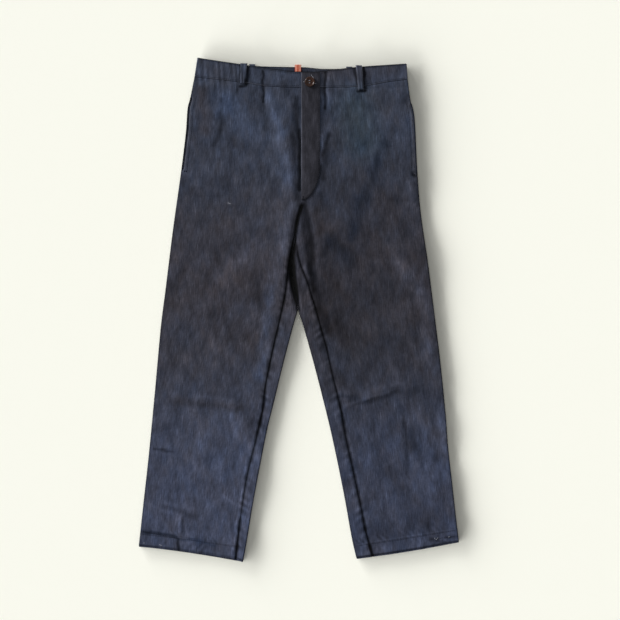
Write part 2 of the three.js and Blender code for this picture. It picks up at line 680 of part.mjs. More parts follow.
/** A side pocket's bag: two plies joined by the fold furthest from the side seam. */
function pocketBag(side) {
  const leg = LEGS[side];
  const rows = shares(6).map((down) => {
    const y = mix(leg.mouth.top + BAG.above, leg.mouth.bottom - BAG.below, down);
    const low = underHeight(y) + BAG_STEP;
    const high = low + BAG_STEP;
    const near = leg.sideAt(y) - leg.outward * BAG.near;
    const far = leg.sideAt(y) - leg.outward * BAG.far;
    const lower = shares(2).map((t) => cloth(mix(near, far, t), y, low, DOWN));
    const turn = shares(4).slice(1, -1).map((t) => {
      const angle = (t - 0.5) * Math.PI;
      const out = new THREE.Vector3(-leg.outward * Math.cos(angle), 0, Math.sin(angle));
      const z = (low + high) / 2 + ((high - low) / 2) * Math.sin(angle);
      return cloth(far - leg.outward * Math.cos(angle), y, z, out);
    });
    const upper = shares(2).map((t) => cloth(mix(far, near, t), y, high, UP));
    return [...lower, ...turn, ...upper];
  });
  return sheetGeometry(rows);
}

/** A belt loop on the front: folded under and sewn at both ends, and arched between them. */
function frontLoop({ x, lean, lowWidth, highWidth, belowSeam }) {
  const rows = shares(9).map((share) => {
    const y = mix(seamY(x) - belowSeam, frontTopY(x) + LOOP.overTop, share);
    const width = mix(lowWidth, highWidth, share);
    const thick = mix(LOOP.endThick, LOOP.thick, ramp(0, LOOP.end, Math.min(share, 1 - share)));
    const places = shares(2).map((across) => x + (across - 0.5) * width + lean * (share - 0.5));
    const under = Math.max(
      ...places.map((at) => {
        const onBand = waistHeight(at) + BAND_CLOTH / 2;
        const onPanel = topHeight(at, Math.min(y, seamY(at))) + CLOTH / 2;
        return Math.max(onPanel, onBand) + LAID_GAP;
      }),
    );
    const z = under + thick / 2 + LOOP.arch * Math.sin(Math.PI * share) ** 0.8;
    return places.map((at) => cloth(at, y, z, UP, thick));
  });
  return sheetGeometry(rows);
}

/** A belt loop on the back: pressed flat between the waistband and the table. */
function backLoop({ x }) {
  const { width, thick, overTop, belowSeam } = BACK_LOOP;
  const rows = shares(4).map((share) => {
    const y = mix(bandLow(x, 1) - belowSeam, backTopY(x) + overTop, share);
    return shares(1).map((across) => cloth(x + (across - 0.5) * width, y, thick / 2, DOWN, thick));
  });
  return sheetGeometry(rows);
}

/** The small woven tab at the centre back, standing just over the waistband's edge. */
function labelTab() {
  const z = BACK_BAND_MID + BAND_CLOTH / 2 + GAP + LABEL.thick / 2;
  const low = frontTopY(LABEL.x) + GAP + LABEL.below;
  const rows = shares(3).map((share) => {
    const y = mix(low, backTopY(LABEL.x) + LABEL.above, share);
    return shares(1).map((across) => cloth(LABEL.x + (across - 0.5) * LABEL.width, y, z, UP, LABEL.thick));
  });
  return sheetGeometry(rows);
}

const wasm = await Module();
wasm.setup();

function toManifold(geometry) {
  const bare = geometry.clone();
  for (const name of Object.keys(bare.attributes)) if (name !== "position") bare.deleteAttribute(name);
  const merged = mergeVertices(bare, 1e-4);
  return new wasm.Manifold(
    new wasm.Mesh({
      numProp: 3,
      vertProperties: merged.attributes.position.array,
      triVerts: new Uint32Array(merged.index.array),
    }),
  );
}

function fromManifold(solid) {
  const made = solid.getMesh();
  const geometry = new THREE.BufferGeometry();
  geometry.setAttribute("position", new THREE.Float32BufferAttribute(made.vertProperties, 3));
  geometry.setIndex(new THREE.BufferAttribute(made.triVerts, 1));
  geometry.computeVertexNormals();
  return geometry;
}

/** A four-hole button with a round edge and a raised rim, its underside at z = 0. */
function buttonGeometry() {
  const { radius, edge, thick, rim, dish } = BUTTON;
  const around = shares(6).map((share) => {
    const angle = (share - 0.5) * Math.PI;
    return [radius - edge + edge * Math.cos(angle), thick / 2 + (thick / 2) * Math.sin(angle)];
  });
  const inward = shares(5).slice(1).map((share) => {
    return [radius - edge - rim * share, thick - dish * ease(share)];
  });
  const profile = [[0, 0], ...around, ...inward, [0, thick - dish]];
  const outline = profile.map(([across, up]) => new THREE.Vector2(across, up));
  let solid = toManifold(new THREE.LatheGeometry(outline, 40).rotateX(Math.PI / 2));
  for (const sx of [-1, 1]) {
    for (const sy of [-1, 1]) {
      const drill = new THREE.CylinderGeometry(BUTTON_HOLE.radius, BUTTON_HOLE.radius, 3 * thick, 10);
      drill.rotateX(Math.PI / 2).translate(sx * BUTTON_HOLE.spread, sy * BUTTON_HOLE.spread, 0);
      solid = solid.subtract(toManifold(drill));
    }
  }
  return fromManifold(solid);
}

// Assembly

const trousers = new THREE.Group();
const finish = (color, roughness) =>
  new THREE.MeshStandardMaterial({ color, roughness, metalness: 0, side: THREE.DoubleSide });
const twill = finish(COLOURS.twill, 0.9);

function addPiece(name, geometry, material) {
  const mesh = new THREE.Mesh(geometry, material);
  mesh.name = name;
  trousers.add(mesh);
  return mesh;
}

for (const side of Object.keys(LEGS)) {
  addPiece(`back_${side}`, backPanel(side), twill);
  addPiece(`front_${side}`, frontPanel(side), twill);
  addPiece(`waistband_${side}`, waistband(side), twill);
  addPiece(`pocket_bag_${side}`, pocketBag(side), finish(COLOURS.bag, 0.9));
}
addPiece("fly_placket", flyPlacket(), finish(COLOURS.placket, 0.9));
for (const loop of FRONT_LOOPS) addPiece(loop.name, frontLoop(loop), twill);
for (const loop of BACK_LOOPS) addPiece(loop.name, backLoop(loop), twill);
addPiece("label_tab", labelTab(), finish(COLOURS.label, 0.8));

const button = addPiece("button", buttonGeometry(), finish(COLOURS.button, 0.3));
const bandTop = waistHeight(BUTTON.x) + BAND_LIFT + BAND_CLOTH / 2;
button.position.set(BUTTON.x, BUTTON.y, bandTop + LAID_GAP + CLOTH + BUTTON_LIFT / 2);

export default trousers;
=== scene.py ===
"""Work trousers laid flat on a pale table, front side up, seen from straight above.

Sizes are in millimetres, as a pattern's are, and become metres where a mesh is made.
+X is the wearer's left, +Y is towards the waist and +Z is up from the table.
"""
import math

import bpy
import numpy as np
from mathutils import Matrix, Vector


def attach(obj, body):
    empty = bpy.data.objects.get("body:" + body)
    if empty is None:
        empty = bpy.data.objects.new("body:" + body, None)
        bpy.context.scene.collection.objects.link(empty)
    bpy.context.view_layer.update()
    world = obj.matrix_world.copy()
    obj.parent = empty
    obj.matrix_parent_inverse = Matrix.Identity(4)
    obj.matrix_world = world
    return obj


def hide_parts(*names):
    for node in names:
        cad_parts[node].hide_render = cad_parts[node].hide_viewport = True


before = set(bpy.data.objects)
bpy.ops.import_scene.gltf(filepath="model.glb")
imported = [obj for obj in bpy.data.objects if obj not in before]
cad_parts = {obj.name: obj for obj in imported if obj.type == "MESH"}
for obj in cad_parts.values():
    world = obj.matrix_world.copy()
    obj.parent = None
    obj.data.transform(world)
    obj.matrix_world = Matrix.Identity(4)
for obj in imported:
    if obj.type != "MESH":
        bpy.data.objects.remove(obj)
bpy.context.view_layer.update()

MM = 0.001


def table(columns, rows):
    """A table's columns by name, as arrays."""
    return dict(zip(columns.split(), np.array(rows, float).T))


# Cloth and seams

CLOTH = 1.0  # one ply of heavy twill
BAND_CLOTH = 1.8  # the waistband is two plies pressed together
GAP = 0.3  # left between pieces at a seam
WAIST_GAP = 0.45  # the same at the waistband, whose seam is slanted
FOLD_REACH = 1.4  # how far a pressed fold bulges sideways
TABLE_MID = CLOTH / 2 + 0.05  # middle of the back's cloth where it lies on the table
TOP_FLOOR = 1.85  # lowest middle of the cloth that lies over the back
TOP_CEILING = 5.4
HEM_PLY = 0.7  # what the turned-up hem adds to the wall
REST_HEIGHT = 3.0  # middle of the front's cloth away from folds
CREASE_SINK = 0.15  # how far fine creases may dip below the lowest middle
BAND_RELIEF = 0.75  # how much of the fine creases the stiffer waistband shows
BACK_BAND_WAVE = 0.12
EDGE_LIFT = 0.6  # the front rises this much towards each pressed edge
EDGE_REACH = 18

BACK_BAND_MID = 2.3  # middle of the waistband's cloth on the back
BACK_RISE = (382, 434)  # the back rises between these heights, to lie over the belt loops
WAIST_BLEND = 345  # above it the front's cloth nears its height at the waist
BAND_DEPTH = 35
FLY_EDGE = 5  # x of the left front's finished edge at the fly
UNDERLAP_EDGE = 30  # x of the right front's edge, hidden below it
FLY_LIFT = 1.6  # how far the left front rises over the underlap
BAND_LIFT = 2.3  # the same at the waistband
FLY_END = 208
UNDERLAP_END = 245  # where the underlap has its whole width
CENTRE_BACK = -1.5
CROTCH_Y = 148
MOUTH_INSET = 5  # how far a pocket's mouth lies in from the side seam
MOUTH_RISE = 0.5  # how far the cloth stands up along the mouth
HEM_DEPTH = 26  # from the step at the hem's top to its folded edge
HEM_RISE = 1.5  # how far the hem lifts the front, for each mm that it is thicker
LAP_GAP = 1.3 * GAP  # left under a small piece that lies on another
SIDE_TURN = np.array([[0, 0.2, 0.4, 0.6, 0.8]])  # shares of the quarter turn at the side seam

# Outlines of the two legs, a row for each height

RIGHT_SIDE = table("y x", [
    (491, -197.5), (454, -203), (412, -211.5), (393, -216.5), (347, -220), (269, -229.5),
    (155, -245.5), (38, -260), (-28, -268.5), (-153, -280), (-278, -292), (-387, -304), (-461.5, -312),
])
RIGHT_FOLD = table("y x", [
    (0, -1.65), (-43, -14), (-106, -30.5), (-168, -45.5), (-231, -61), (-293, -73.5),
    (-387, -91), (-449, -101), (-491, -108.5),
])
RIGHT_INSEAM = table("y x", [
    (148, -7.6), (116, -15), (87, -20), (60, -22.5), (25, -27.5), (-12, -35.5), (-69, -48.5),
    (-104, -56), (-153, -65.5), (-188, -69), (-246, -81.5), (-328, -101), (-414, -114.5), (-491, -123.5),
])
LEFT_SIDE = table("y x", [
    (479, 210), (448, 212.5), (409, 217.5), (393, 222.5), (370, 226), (269, 231), (191, 237.5),
    (97, 251), (3, 263), (-98, 275.5), (-207, 286.5), (-262, 290.5), (-348, 300), (-453, 312),
])
LEFT_FOLD = table("y x", [
    (0, -1.35), (-43, 12), (-106, 29.5), (-168, 45.5), (-231, 61), (-293, 74.5),
    (-371, 90), (-449, 104), (-485, 112.5),
])
LEFT_INSEAM = table("y x", [
    (148, -6.4), (116, -3), (87, 4), (57, 16), (30, 24), (2, 33), (-40, 44.5), (-76, 54.5),
    (-123, 65), (-197, 83), (-239, 90), (-319, 107.5), (-390, 122.5), (-431, 130.5), (-481, 144.5),
])

# Heights of the rows of each leg at the side seam, at the centre back or inner
# fold, and at the centre front or inseam. The crotch row is number 5.
RIGHT_SECTIONS = table("outer back inner steps", [
    (453.5, 437, 433.4, 0), (414, 390, 396, 3), (340, 300, 320, 4), (270, 190, 245, 4),
    (225, 120, 208, 3), (145, 0, 148, 4), (55, -35, 60, 5), (-50, -80, -45, 4),
    (-148, -160, -153, 4), (-205, -216, -212, 5), (-360, -375, -371, 5), (-433, -462, -457, 4),
    (-436, -465, -460, 1), (-461.5, -491, -486, 1),
])
LEFT_SECTIONS = table("outer back inner steps", [
    (449, 437, 433.4, 0), (402, 390, 396, 3), (335, 300, 320, 4), (263, 190, 245, 4),
    (222, 120, 208, 3), (145, 0, 148, 4), (55, -35, 60, 5), (-50, -80, -45, 4),
    (-138, -150, -145, 4), (-188, -202, -198, 5), (-345, -372, -367, 5), (-425, -457, -452, 4),
    (-428, -460, -455, 1), (-453, -485, -481, 1),
])
CROTCH_ROW = 5
HEM_TOP_ROW = 11
HEM_ROW = 13
ROW_FINENESS = 8  # rows here for each step of the CAD's sections

# The waist

WAIST_SEAM = table("x y", [
    (-203, 453.5), (-177, 450.5), (-115, 443.5), (-72, 436.5), (-35, 433.7), (5, 433.4),
    (94, 433.4), (133, 436.5), (166, 442.5), (212.5, 449),
])
FRONT_TOP = table("x y", [
    (-197.5, 491), (-115, 478), (-85, 473.5), (-27, 465), (5, 463), (40, 463), (73, 468),
    (112, 472.5), (210, 479.5),
])
BACK_TOP = table("x y", [
    (-197.5, 491), (-115, 479), (-85, 475), (-17, 473), (12, 472.5), (45, 469.5), (88, 470),
    (210, 479.5),
])
WAIST_HEIGHT = table("x z", [
    (-204, 4.5), (-150, 5.2), (-90, 5.4), (-72, 4.5), (-54, 5.3), (-20, 4.8), (0, 4.6),
    (35, 4.6), (52, 4.5), (66, 5.1), (150, 5.2), (213, 4.5),
])
RISE_SEAM = table("y x", [(210, 7.3), (187, 0.3), (161, -5.4), (148, -7)])
VALLEY = table("y x", [
    (0, -1.5), (25, -5.4), (48, -9.7), (74, -12.6), (101, -12.6), (126, -10.2), (148, -7),
])

# Folds of the CAD's panels: the line of each, its half width and its height

FOLDS = table("x0 y0 x1 y1 width height", [
    (-71, 436, -68, 400, 7, -1.2),
    (-58, 408, -30, 325, 20, 1.3),
    (-30, 325, -14, 230, 18, 1.2),
    (-5, 390, -3, 225, 9, -1.4),
    (52, 436, 54, 395, 7, -1.2),
    (66, 410, 58, 300, 16, 1.0),
    (46, 300, 34, 240, 9, -0.9),
    (13, 200, 24, 120, 10, -1.9),
    (24, 120, 36, 30, 10, -1.9),
    (-12, 190, -36, 60, 12, 1.0),
    (-264, -172, -190, -178, 11, 1.3),
    (-190, -178, -128, -187, 11, 1.5),
    (-128, -187, -98, -214, 10, 1.3),
    (84, -166, 135, -172, 10, 1.3),
    (135, -172, 184, -153, 10, 1.4),
    (184, -153, 276, -160, 11, 1.4),
    (205, -205, 221, -350, 10, -0.9),
    (-298, -378, -208, -402, 12, 1.0),
    (-250, 250, -120, 60, 45, 0.9),
    (150, 300, 70, 150, 40, 0.9),
    (250, 80, 190, -60, 40, 0.8),
])
CROTCH_LOFT = dict(x=-6, y=85, rx=75, ry=120, height=2.0)
VALLEY_FOLD = dict(width=6.5, height=-3.0, foot=(-20, 15), head=(CROTCH_Y, CROTCH_Y + 60))

# Finer creases, with the height at each end

CREASES = table("x0 y0 x1 y1 width start end", [
    (-70.6, 464, -69, 413, 2.4, -1.0, -1.5),
    (-69, 413, -64, 372, 4, -1.5, -0.1),
    (-61, 424, -45, 372, 8, 1.0, 0.9),
    (-45, 372, -20, 300, 12, 0.9, 0.7),
    (-20, 300, -10, 225, 9, 0.7, 0.5),
    (-40, 470, -34, 436, 5, 0.5, 0.4),
    (-25, 440, -8, 400, 6, -0.5, -0.6),
    (-8, 400, -2, 340, 5, -0.6, -0.8),
    (-2, 340, 0, 215, 6, -0.8, -1.0),
    (49.5, 464, 51, 436, 2.2, -0.8, -1.3),
    (51, 436, 52.7, 392, 2.6, -1.3, -1.0),
    (52.7, 392, 49, 350, 4, -0.7, -0.1),
    (58, 334, 45, 290, 4, -1.0, -0.6),
    (45, 290, 36, 262, 3, -0.6, -0.1),
    (57, 450, 61, 385, 4, 0.7, 0.6),
    (70, 446, 62, 400, 5, -0.4, -0.2),
    (82, 400, 62, 372, 4, -0.4, -0.1),
    (13, 200, 24, 68, 5, -0.9, -0.6),
    (24, 68, 52, -40, 7, -0.6, -0.1),
    (30, 190, 60, 120, 12, 0.5, 0.3),
    (-20, 185, -40, 90, 10, -0.5, -0.2),
    (-262, -166, -193, -171, 5, 0.1, 0.4),
    (-193, -171, -144, -175, 5, 0.4, 0.5),
    (-144, -175, -115, -186, 4, 0.5, 0.4),
    (-115, -186, -101, -212, 4, 0.4, 0.1),
    (-240, -183, -140, -192, 7, -0.4, -0.6),
    (-140, -192, -112, -206, 4, -0.8, -0.5),
    (184, -147, 276, -143, 5, 0.5, 0.2),
    (92, -188, 131, -174, 4, 0.5, 0.7),
    (131, -174, 184, -158, 4, 0.7, 0.4),
    (84, -172, 128, -166, 4, -0.4, -0.3),
    (128, -184, 180, -170, 6, -0.4, -0.2),
    (190, -161, 262, -158, 6, -0.4, -0.1),
    (205, -205, 212, -287, 4, -0.3, -0.9),
    (212, -287, 221, -348, 4, -0.9, -0.1),
    (218, -220, 224, -290, 7, 0.5, 0.4),
    (-300, -377, -265, -390, 4, 0.6, 0.5),
    (-265, -390, -208, -402, 5, 0.6, 0.2),
    (-290, -392, -225, -410, 5, -0.4, -0.2),
    (-147, -363, -126, -380, 4, 0.7, 0.5),
    (-278, -270, -249, -275, 3, -0.6, -0.4),
    (-230, -404, -230, -432, 3, 0.6, 0.4),
    (-222, -404, -223, -440, 4, -0.4, -0.4),
    (-145.9, 384, -157, 339, 3, 0.5, 0.7),
    (-157, 339, -158.7, 283, 3, 0.7, 0.2),
    (-206, 241, -144, 233, 4, 0.5, 0.1),
    (218, 200, 232, 216, 3, -0.6, -0.6),
    (-60, 60, -110, -20, 14, 0.4, 0.2),
    (-45, 0, -95, -60, 9, -0.4, -0.1),
    (70, 20, 130, -40, 14, 0.4, 0.2),
    (150, 260, 120, 120, 18, -0.4, -0.2),
    (-170, 180, -150, 40, 20, -0.4, -0.2),
    (-240, -40, -170, -70, 12, 0.3, 0.2),
    (180, -230, 150, -330, 16, -0.4, -0.2),
    (250, -240, 265, -330, 12, 0.4, 0.3),
    (-150, -240, -180, -330, 18, 0.4, 0.2),
])

CREASE_DEPTH = 1.05  # of the values in the table
SPREAD = 1.6  # a fold or a worn place has faded out at this many of its half widths
STAIN_SPREAD = 1.5
# The groove along the inseam, the painted shade in it (dark and reach), and the paler strip of the back that
# lies beside it
INSEAM = dict(depth=-0.8, width=3.0, dark=-0.95, reach=2.1, strip=0.04)
INSEAM_STRIP = dict(near=(-3, -7), far=(-40, -30))  # where it pales and ends, out from the seam
INSEAM_UNEVEN = dict(depth=0.2, reach=0.35)
# Unevenness of worn cloth, in layers: strength, seed, length and how far it is drawn out
WORN_HEIGHT = [(0.4, 5, 62, 1.6), (0.2, 6, 21, 1.6), (0.05, 7, 8, 1.5)]
WORN_LIGHT = [(0.055, 46, 40, 2), (0.045, 47, 12, 3)]
WORN_BLUE = [(0.016, 45, 60, 1.5), (0.012, 49, 16, 2)]
PLACKET_LIGHT = [(0.1, 51, 30, 2), (0.09, 54, 9, 5)]
# How far straight lines wander: size, seed across, seed along and length
CREASE_WANDER = [(1.2, 3, 4, 34)]
WEAR_AND_SHADE_WANDER = [(0.5, 41, 42, 17), (1.5, 43, 44, 38)]
BACK_WANDER = [(2, 55, 56, 40)]
# Waves that stitching draws the cloth into: their height, how far they reach from the seam,
# their length, and how they lean with the distance from it
PUCKER_HEIGHT = 1.2  # of the values below
INSEAM_PUCKERS = dict(height=0.4, reach=8, length=17, lean=-0.55, beyond=9, share=0.7)
SIDE_PUCKERS = dict(height=0.16, reach=9, length=21)
HEM_PUCKERS = [
    dict(height=0.28, above=2, reach=9, length=12.5, lean=0.9),
    dict(height=0.22, above=-17, reach=8, length=13.5, lean=-0.8),
]
HEM_TWIST = 0.9  # how much shorter the hem's waves are across the leg
# Those at the waistband are strongest towards the wearer's right side
BAND_PUCKERS = dict(height=0.45, length=11.5, lean=0.08, least=0.25, from_y=450)
BAND_GATHER = dict(across=(-95, -125), up=(405, 440))
# The shade in the deep fold from the fly to the crotch, wider halfway down
DEEP_FOLD = dict(dark=-1.8, ends=3.0, middle=6.8, foot=(-12, 4), head=(200, 208))
DEEP_FOLD_WIDENS = (0, 45)
DEEP_FOLD_NARROWS = (80, 150)

# Small pieces

BAG = dict(near=9, far=62, above=4, below=18, margin=20, fade=26)
BAG_STEP = CLOTH + GAP + 0.05
PLACKET = dict(width=36, tip=3, curve_top=282, bottom=214, inset=0.5, lift=1.6)
LOOP = dict(thick=1.0, end_thick=1.8, arch=3.0, over_top=2.5, welt=0.22, folded_share=0.12)
FRONT_LOOPS = {
    "right": dict(x=-108, lean=2.4, low=9, high=13.5, below_seam=2, cut=47),
    "left": dict(x=119, lean=-4.5, low=11, high=12, below_seam=9, cut=54),
}
BACK_LOOP = dict(width=11.5, thick=1.0, over_top=3.5, below_seam=2, length=42, clear=0.02)
BACK_LOOPS = {"belt_loop_back_right": -91, "belt_loop_back_left": 98}
BUTTON = dict(x=21.5, y=443, radius=10, edge=1.4, thick=3.2, rim=2.6, dish=1.1, shank=0.9)
BUTTON_HOLE = dict(radius=1.1, spread=2.2)
LABEL = dict(x=-1.5, width=12, above=4.5, thick=1.0, stripes=3, stripe_share=0.34)

# Stitches that stand alone at the hems, and at the button
PALE_MENDS = table("x0 y0 x1 y1", [
    (-303, -454, -299, -454), (-272, -457, -267, -459), (291, -442, 295, -442),
    (264, -444, 267, -448), (267, -448, 271, -444), (-132, 206, -138, 208),
])
DARK_MENDS = table("x0 y0 x1 y1", [
    (256, -447, 280, -444), (282, -444, 304, -441), (-304, -431, -236, -445),
])
BUTTON_MENDS = table("x0 y0 x1 y1", [(9, 443, 12, 443), (31, 440, 34, 440), (24, 457, 29, 450)])

# Columns or rows of cloth points across each piece, and its rough width in mm
GRIDS = dict(
    front=(88, 240), back=(24, 240), inner_strip=(12, 30),
    band_up=(12, BAND_DEPTH), band_front=(96, 210), band_back=(60, 210),
    placket_down=(90, 250), placket_across=(22, PLACKET["width"]), label=(14, 14),
    back_loop_up=(20, BACK_LOOP["length"]), back_loop_across=(6, BACK_LOOP["width"]),
)
FLY_TACK = dict(x=8, y=217, wide=3, tall=8)
MOUTH_TACK = dict(wide=6, tall=2.4, rows=5)
MOUTH_TACK_INSET = 3

# Where the lines of stitches start and end across each leg: the hem's, and the waistband's
# by how far above the waist seam they lie
HEM_STITCHES = {"right": (-304, -112), "left": (116, 304)}
HEM_STITCH_DROP = 3.8  # from the step at the hem's top
BAND_STITCHES = {
    "right": [(3, -199, 2), (32, -196, 2)],
    "left": [(3, 44, 208), (32, 44, 206)],
}
FLY_STITCH_INSET = 2.5
MOUTH_STITCH_INSET = 6

# Colours of the cloth, in sRGB from 0 to 255

NAVY = (54, 59, 71)  # the dye where it has worn least
WASHED = (70, 75, 95)  # paled to blue by washing
SOILED = (57, 55, 61)  # greyed by use
BROWN = (60, 56, 60)
DEEP_GREY = (44, 44, 49)
RUST = (82, 54, 51)
TEAL = (51, 63, 71)
LINT = (85, 87, 97)
PLACKET_TONE = (48, 48, 54)
EDGE_TONE = (86, 88, 98)  # cloth worn pale along an edge
POCKETING = (44, 46, 54)
LABEL_RED = (160, 62, 42)
LABEL_STRIPE = (205, 160, 140)
HORN_DARK = (30, 18, 14)
HORN_LIGHT = (78, 46, 30)
THREADS = {"navy_thread": (28, 30, 38), "pale_thread": (128, 130, 138), "dark_thread": (20, 21, 27)}

# How far the dye has gone to each state, by height: grey at the thighs, pale at the shins
WEAR = table("y washed soiled", [
    (491, 0.1, 0), (300, 0.15, 0.15), (100, 0.1, 0.75), (-60, 0.15, 0.6), (-250, 0.55, 0.1), (-491, 0.7, 0),
])
# How much darker the left leg has stayed, by height
LEFT_DEEPER = table("y dark", [(491, -0.02), (340, 0.02), (250, 0.09), (-491, 0.09)])
RIDGE_WEAR_AND_TROUGH_SHADE = 0.09  # how much paler a crease is from wear for each mm that it stands up, and how much darker with painted shade for each mm that it sinks


def stain(colour, *rows):
    return colour, table("x0 y0 x1 y1 width strength", rows)


STAINS = [
    stain(
        BROWN,
        (-190, 425, -180, 350, 15, 0.5), (-150, 60, -110, -60, 60, 0.12), (175, 210, 185, 180, 35, 0.4),
    ),
    stain(DEEP_GREY, (130, 60, 110, -80, 70, 0.2)),
    stain(TEAL, (110, 395, 122, 330, 42, 0.5)),
    stain(SOILED, (60, 466, 205, 470, 22, 0.45)),
    stain(RUST, (137, -457, 139, -469, 2, 0.4)),
    stain(LINT, (-138, 208, -133, 206, 3, 0.8)),
]

# Paler and darker bands along creases on the side that lies on the table, at the seat, the backs of the knees
# and the hems: the dark ones painted shade in the creases, the pale ones wear
BACK_CREASES = table("x0 y0 x1 y1 width light", [
    (-20, 240, -120, 150, 16, -0.12), (25, 230, 130, 165, 18, -0.1), (-30, 160, -150, 60, 22, 0.1),
    (35, 150, 140, 40, 24, 0.1), (-250, -150, -130, -190, 9, -0.22), (-240, -205, -150, -225, 11, 0.12),
    (110, -165, 240, -140, 9, -0.22), (120, -195, 220, -180, 12, 0.12), (-290, -400, -190, -425, 8, -0.12),
    (170, -395, 280, -410, 8, -0.12), (-150, 380, -130, 300, 14, 0.1), (130, 370, 150, 280, 14, 0.1),
])
SEAT_SHADE = dict(dark=-0.35, reach=3)  # beside the centre back seam

# Places on the front that are paler or darker, and bluer or browner: the pale ones worn, the dark ones mostly
# painted shade in creases and folds, beside the fly and around the belt loops. The line of each, its half
# width, and its shift, where 0.1 is about a tenth
WEAR_AND_SHADE_PLACES = table("x0 y0 x1 y1 width light blue", [
    (-55, 415, -35, 345, 13, 0.2, 0.02),
    (-35, 345, -25, 260, 14, 0.15, 0.02),
    (-25, 260, -35, 150, 17, 0.1, 0),
    (-40, 150, -45, 60, 15, 0.12, 0.02),
    (-15, 205, -32, 110, 8, 0.18, 0.02),
    (-55, 40, -75, -130, 12, 0.2, 0.06),
    (-140, 405, -105, 350, 25, 0.15, 0.05),
    (-70, 140, -150, 60, 16, 0.15, 0),
    (-180, -40, -165, -80, 10, 0.15, 0),
    (-130, -215, -110, -270, 18, 0.12, 0.02),
    (-190, -220, -200, -290, 14, 0.1, 0),
    (-105, -310, -117, -400, 3.5, 0.3, 0),
    (-117, -400, -127, -465, 3, 0.25, 0),
    (-145, -362, -125, -376, 2.5, 0.15, 0),
    (-230, -400, -235, -440, 4, 0.15, 0),
    # painted shade in the pleat's crease and in the fold beside the fly
    (-70, 465, -69, 405, 2.5, -0.8, 0),
    (-68, 395, -62, 355, 7, -0.15, 0),
    (-5, 410, -3, 350, 8, -0.45, 0),
    (-12, 340, 0, 320, 7, -0.25, 0),
    (1, 350, 2, 235, 4, -1.0, 0),
    (-150, 410, -150, 350, 4, -0.3, 0),
    (-152, 350, -166, 320, 4, -0.35, 0),
    (-170, -5, -160, -50, 7, -0.12, 0),
    (-145, -15, -130, -50, 11, -0.12, 0),
    (-80, 80, -80, 15, 9, -0.15, 0),
    (-250, -175, -110, -190, 9, -0.06, -0.03),
    (-110, -192, -95, -225, 9, -0.15, 0),
    (-282, -271, -248, -276, 3, -0.4, 0),
    (-265, -385, -205, -400, 6, -0.25, 0),
    (-306, -430, -235, -445, 3.5, -0.45, 0.03),
    (-235, -445, -165, -456, 3, -0.25, 0.05),
    (-235, -445, -236, -470, 3, -0.7, 0),
    (58, 455, 52, 402, 5, 0.2, 0),
    (44, 340, 43, 285, 3, 0.35, 0),
    (10, 85, 27, 10, 8, 0.25, 0),
    (215, 245, 222, 205, 8, 0.2, 0),
    (180, 115, 215, 45, 14, 0.2, 0),
    (235, 35, 252, -80, 13, 0.2, 0),
    (190, -190, 180, -260, 17, 0.05, 0.02),
    (275, -190, 285, -270, 9, 0.2, 0.02),
    (240, -290, 268, -340, 16, 0.08, 0.02),
    # painted shade in the creases beside the fly
    (50, 462, 52, 392, 3, -0.6, 0),
    (58, 340, 46, 260, 6, -0.4, 0),
    (165, 320, 130, 220, 11, -0.2, 0.05),
    (115, 215, 105, 140, 11, -0.2, 0.05),
    (60, 140, 100, 95, 14, -0.2, 0.05),
    (222, 266, 228, 262, 5, -0.4, 0),
    (35, 195, 42, 150, 9, -0.2, -0.03),
    # painted shade in the deep fold down the left thigh
    (8, 198, 25, 140, 8, -0.45, 0),
    (25, 140, 24, 70, 8, -0.6, 0),
    (24, 70, 32, 40, 9, -0.5, 0),
    (58, 135, 48, 108, 7, -0.3, 0.03),
    (34, 35, 58, -40, 11, -0.45, 0),
    (75, -20, 82, -60, 8, -0.3, 0),
    (82, -165, 130, -180, 6, -0.1, 0.03),
    (170, -160, 275, -155, 8, -0.05, 0),
    (204, -210, 212, -282, 4, -0.25, 0),
    (218, -235, 222, -266, 8, -0.25, 0),
    (178, -310, 184, -325, 10, -0.2, 0),
    (140, -425, 290, -405, 35, -0.1, 0),
    (55, 60, 78, -40, 28, -0.15, -0.02),
    (-195, -455, -165, -460, 12, -0.15, 0),
    (245, -412, 255, -420, 9, -0.25, 0),
    (255, -447, 282, -451, 3, -0.3, 0),
    (286, -442, 308, -440, 3, -0.35, 0),
    # painted shadows beside and below the belt loops
    (-98, 478, -102, 438, 3, -0.9, 0),
    (-115, 474, -115, 442, 2, -0.4, 0),
    (-114, 436, -103, 436, 2.5, -0.8, 0),
    (108, 470, 112, 437, 2.5, -0.6, 0),
    (126, 471, 129, 432, 3, -0.8, 0),
    (115, 427, 128, 426, 3, -0.9, 0),
])
UNDERSIDE = (0.5, 1.3)  # cloth stops being the underside between these heights over the back
PUCKER_WEAR_AND_SHADE = 3.2  # how much more a pucker's wear and painted shade show than a crease's
EDGE_SHADE = dict(strength=0.8, reach=1.9)
# How dark the inseam's shade is by height, as a share
INSEAM_SHADE = table("y right left", [
    (148, 0.9, 0.3), (95, 0.9, 0.6), (0, 1.0, 1.0), (-120, 1.0, 0.6), (-165, 1.0, 0.7),
    (-215, 1.3, 1.1), (-260, 0.6, 0.6), (-330, 0.3, 0.7), (-400, 0.4, 0.7), (-445, 1.0, 1.1),
    (-491, 1.2, 1.3),
])
GRAIN_LEAN = 0.6  # how far the grain follows the lean of the leg
HEM_SHADE = dict(dark=-0.18, reach=2.2, below=1.5)  # along the step at the hem's top
SEAM_WEAR = dict(strength=0.25, reach=1.5)  # pale wear along the waist seam
MOUTH_WEAR = dict(strength=0.6, reach=2.2)  # along the pocket mouths
FLY_WEAR = dict(strength=0.6, reach=1.1)  # down the fly's finished edge
LOOP_EDGE_WEAR = dict(strength=0.4, reach=1.4)
PLACKET_SHADE = dict(dark=0.45, reach=5)  # inside the curve at the placket's lower end
CLOTH_LIGHT = 0.58  # the light on the cloth, as a share of that on the table
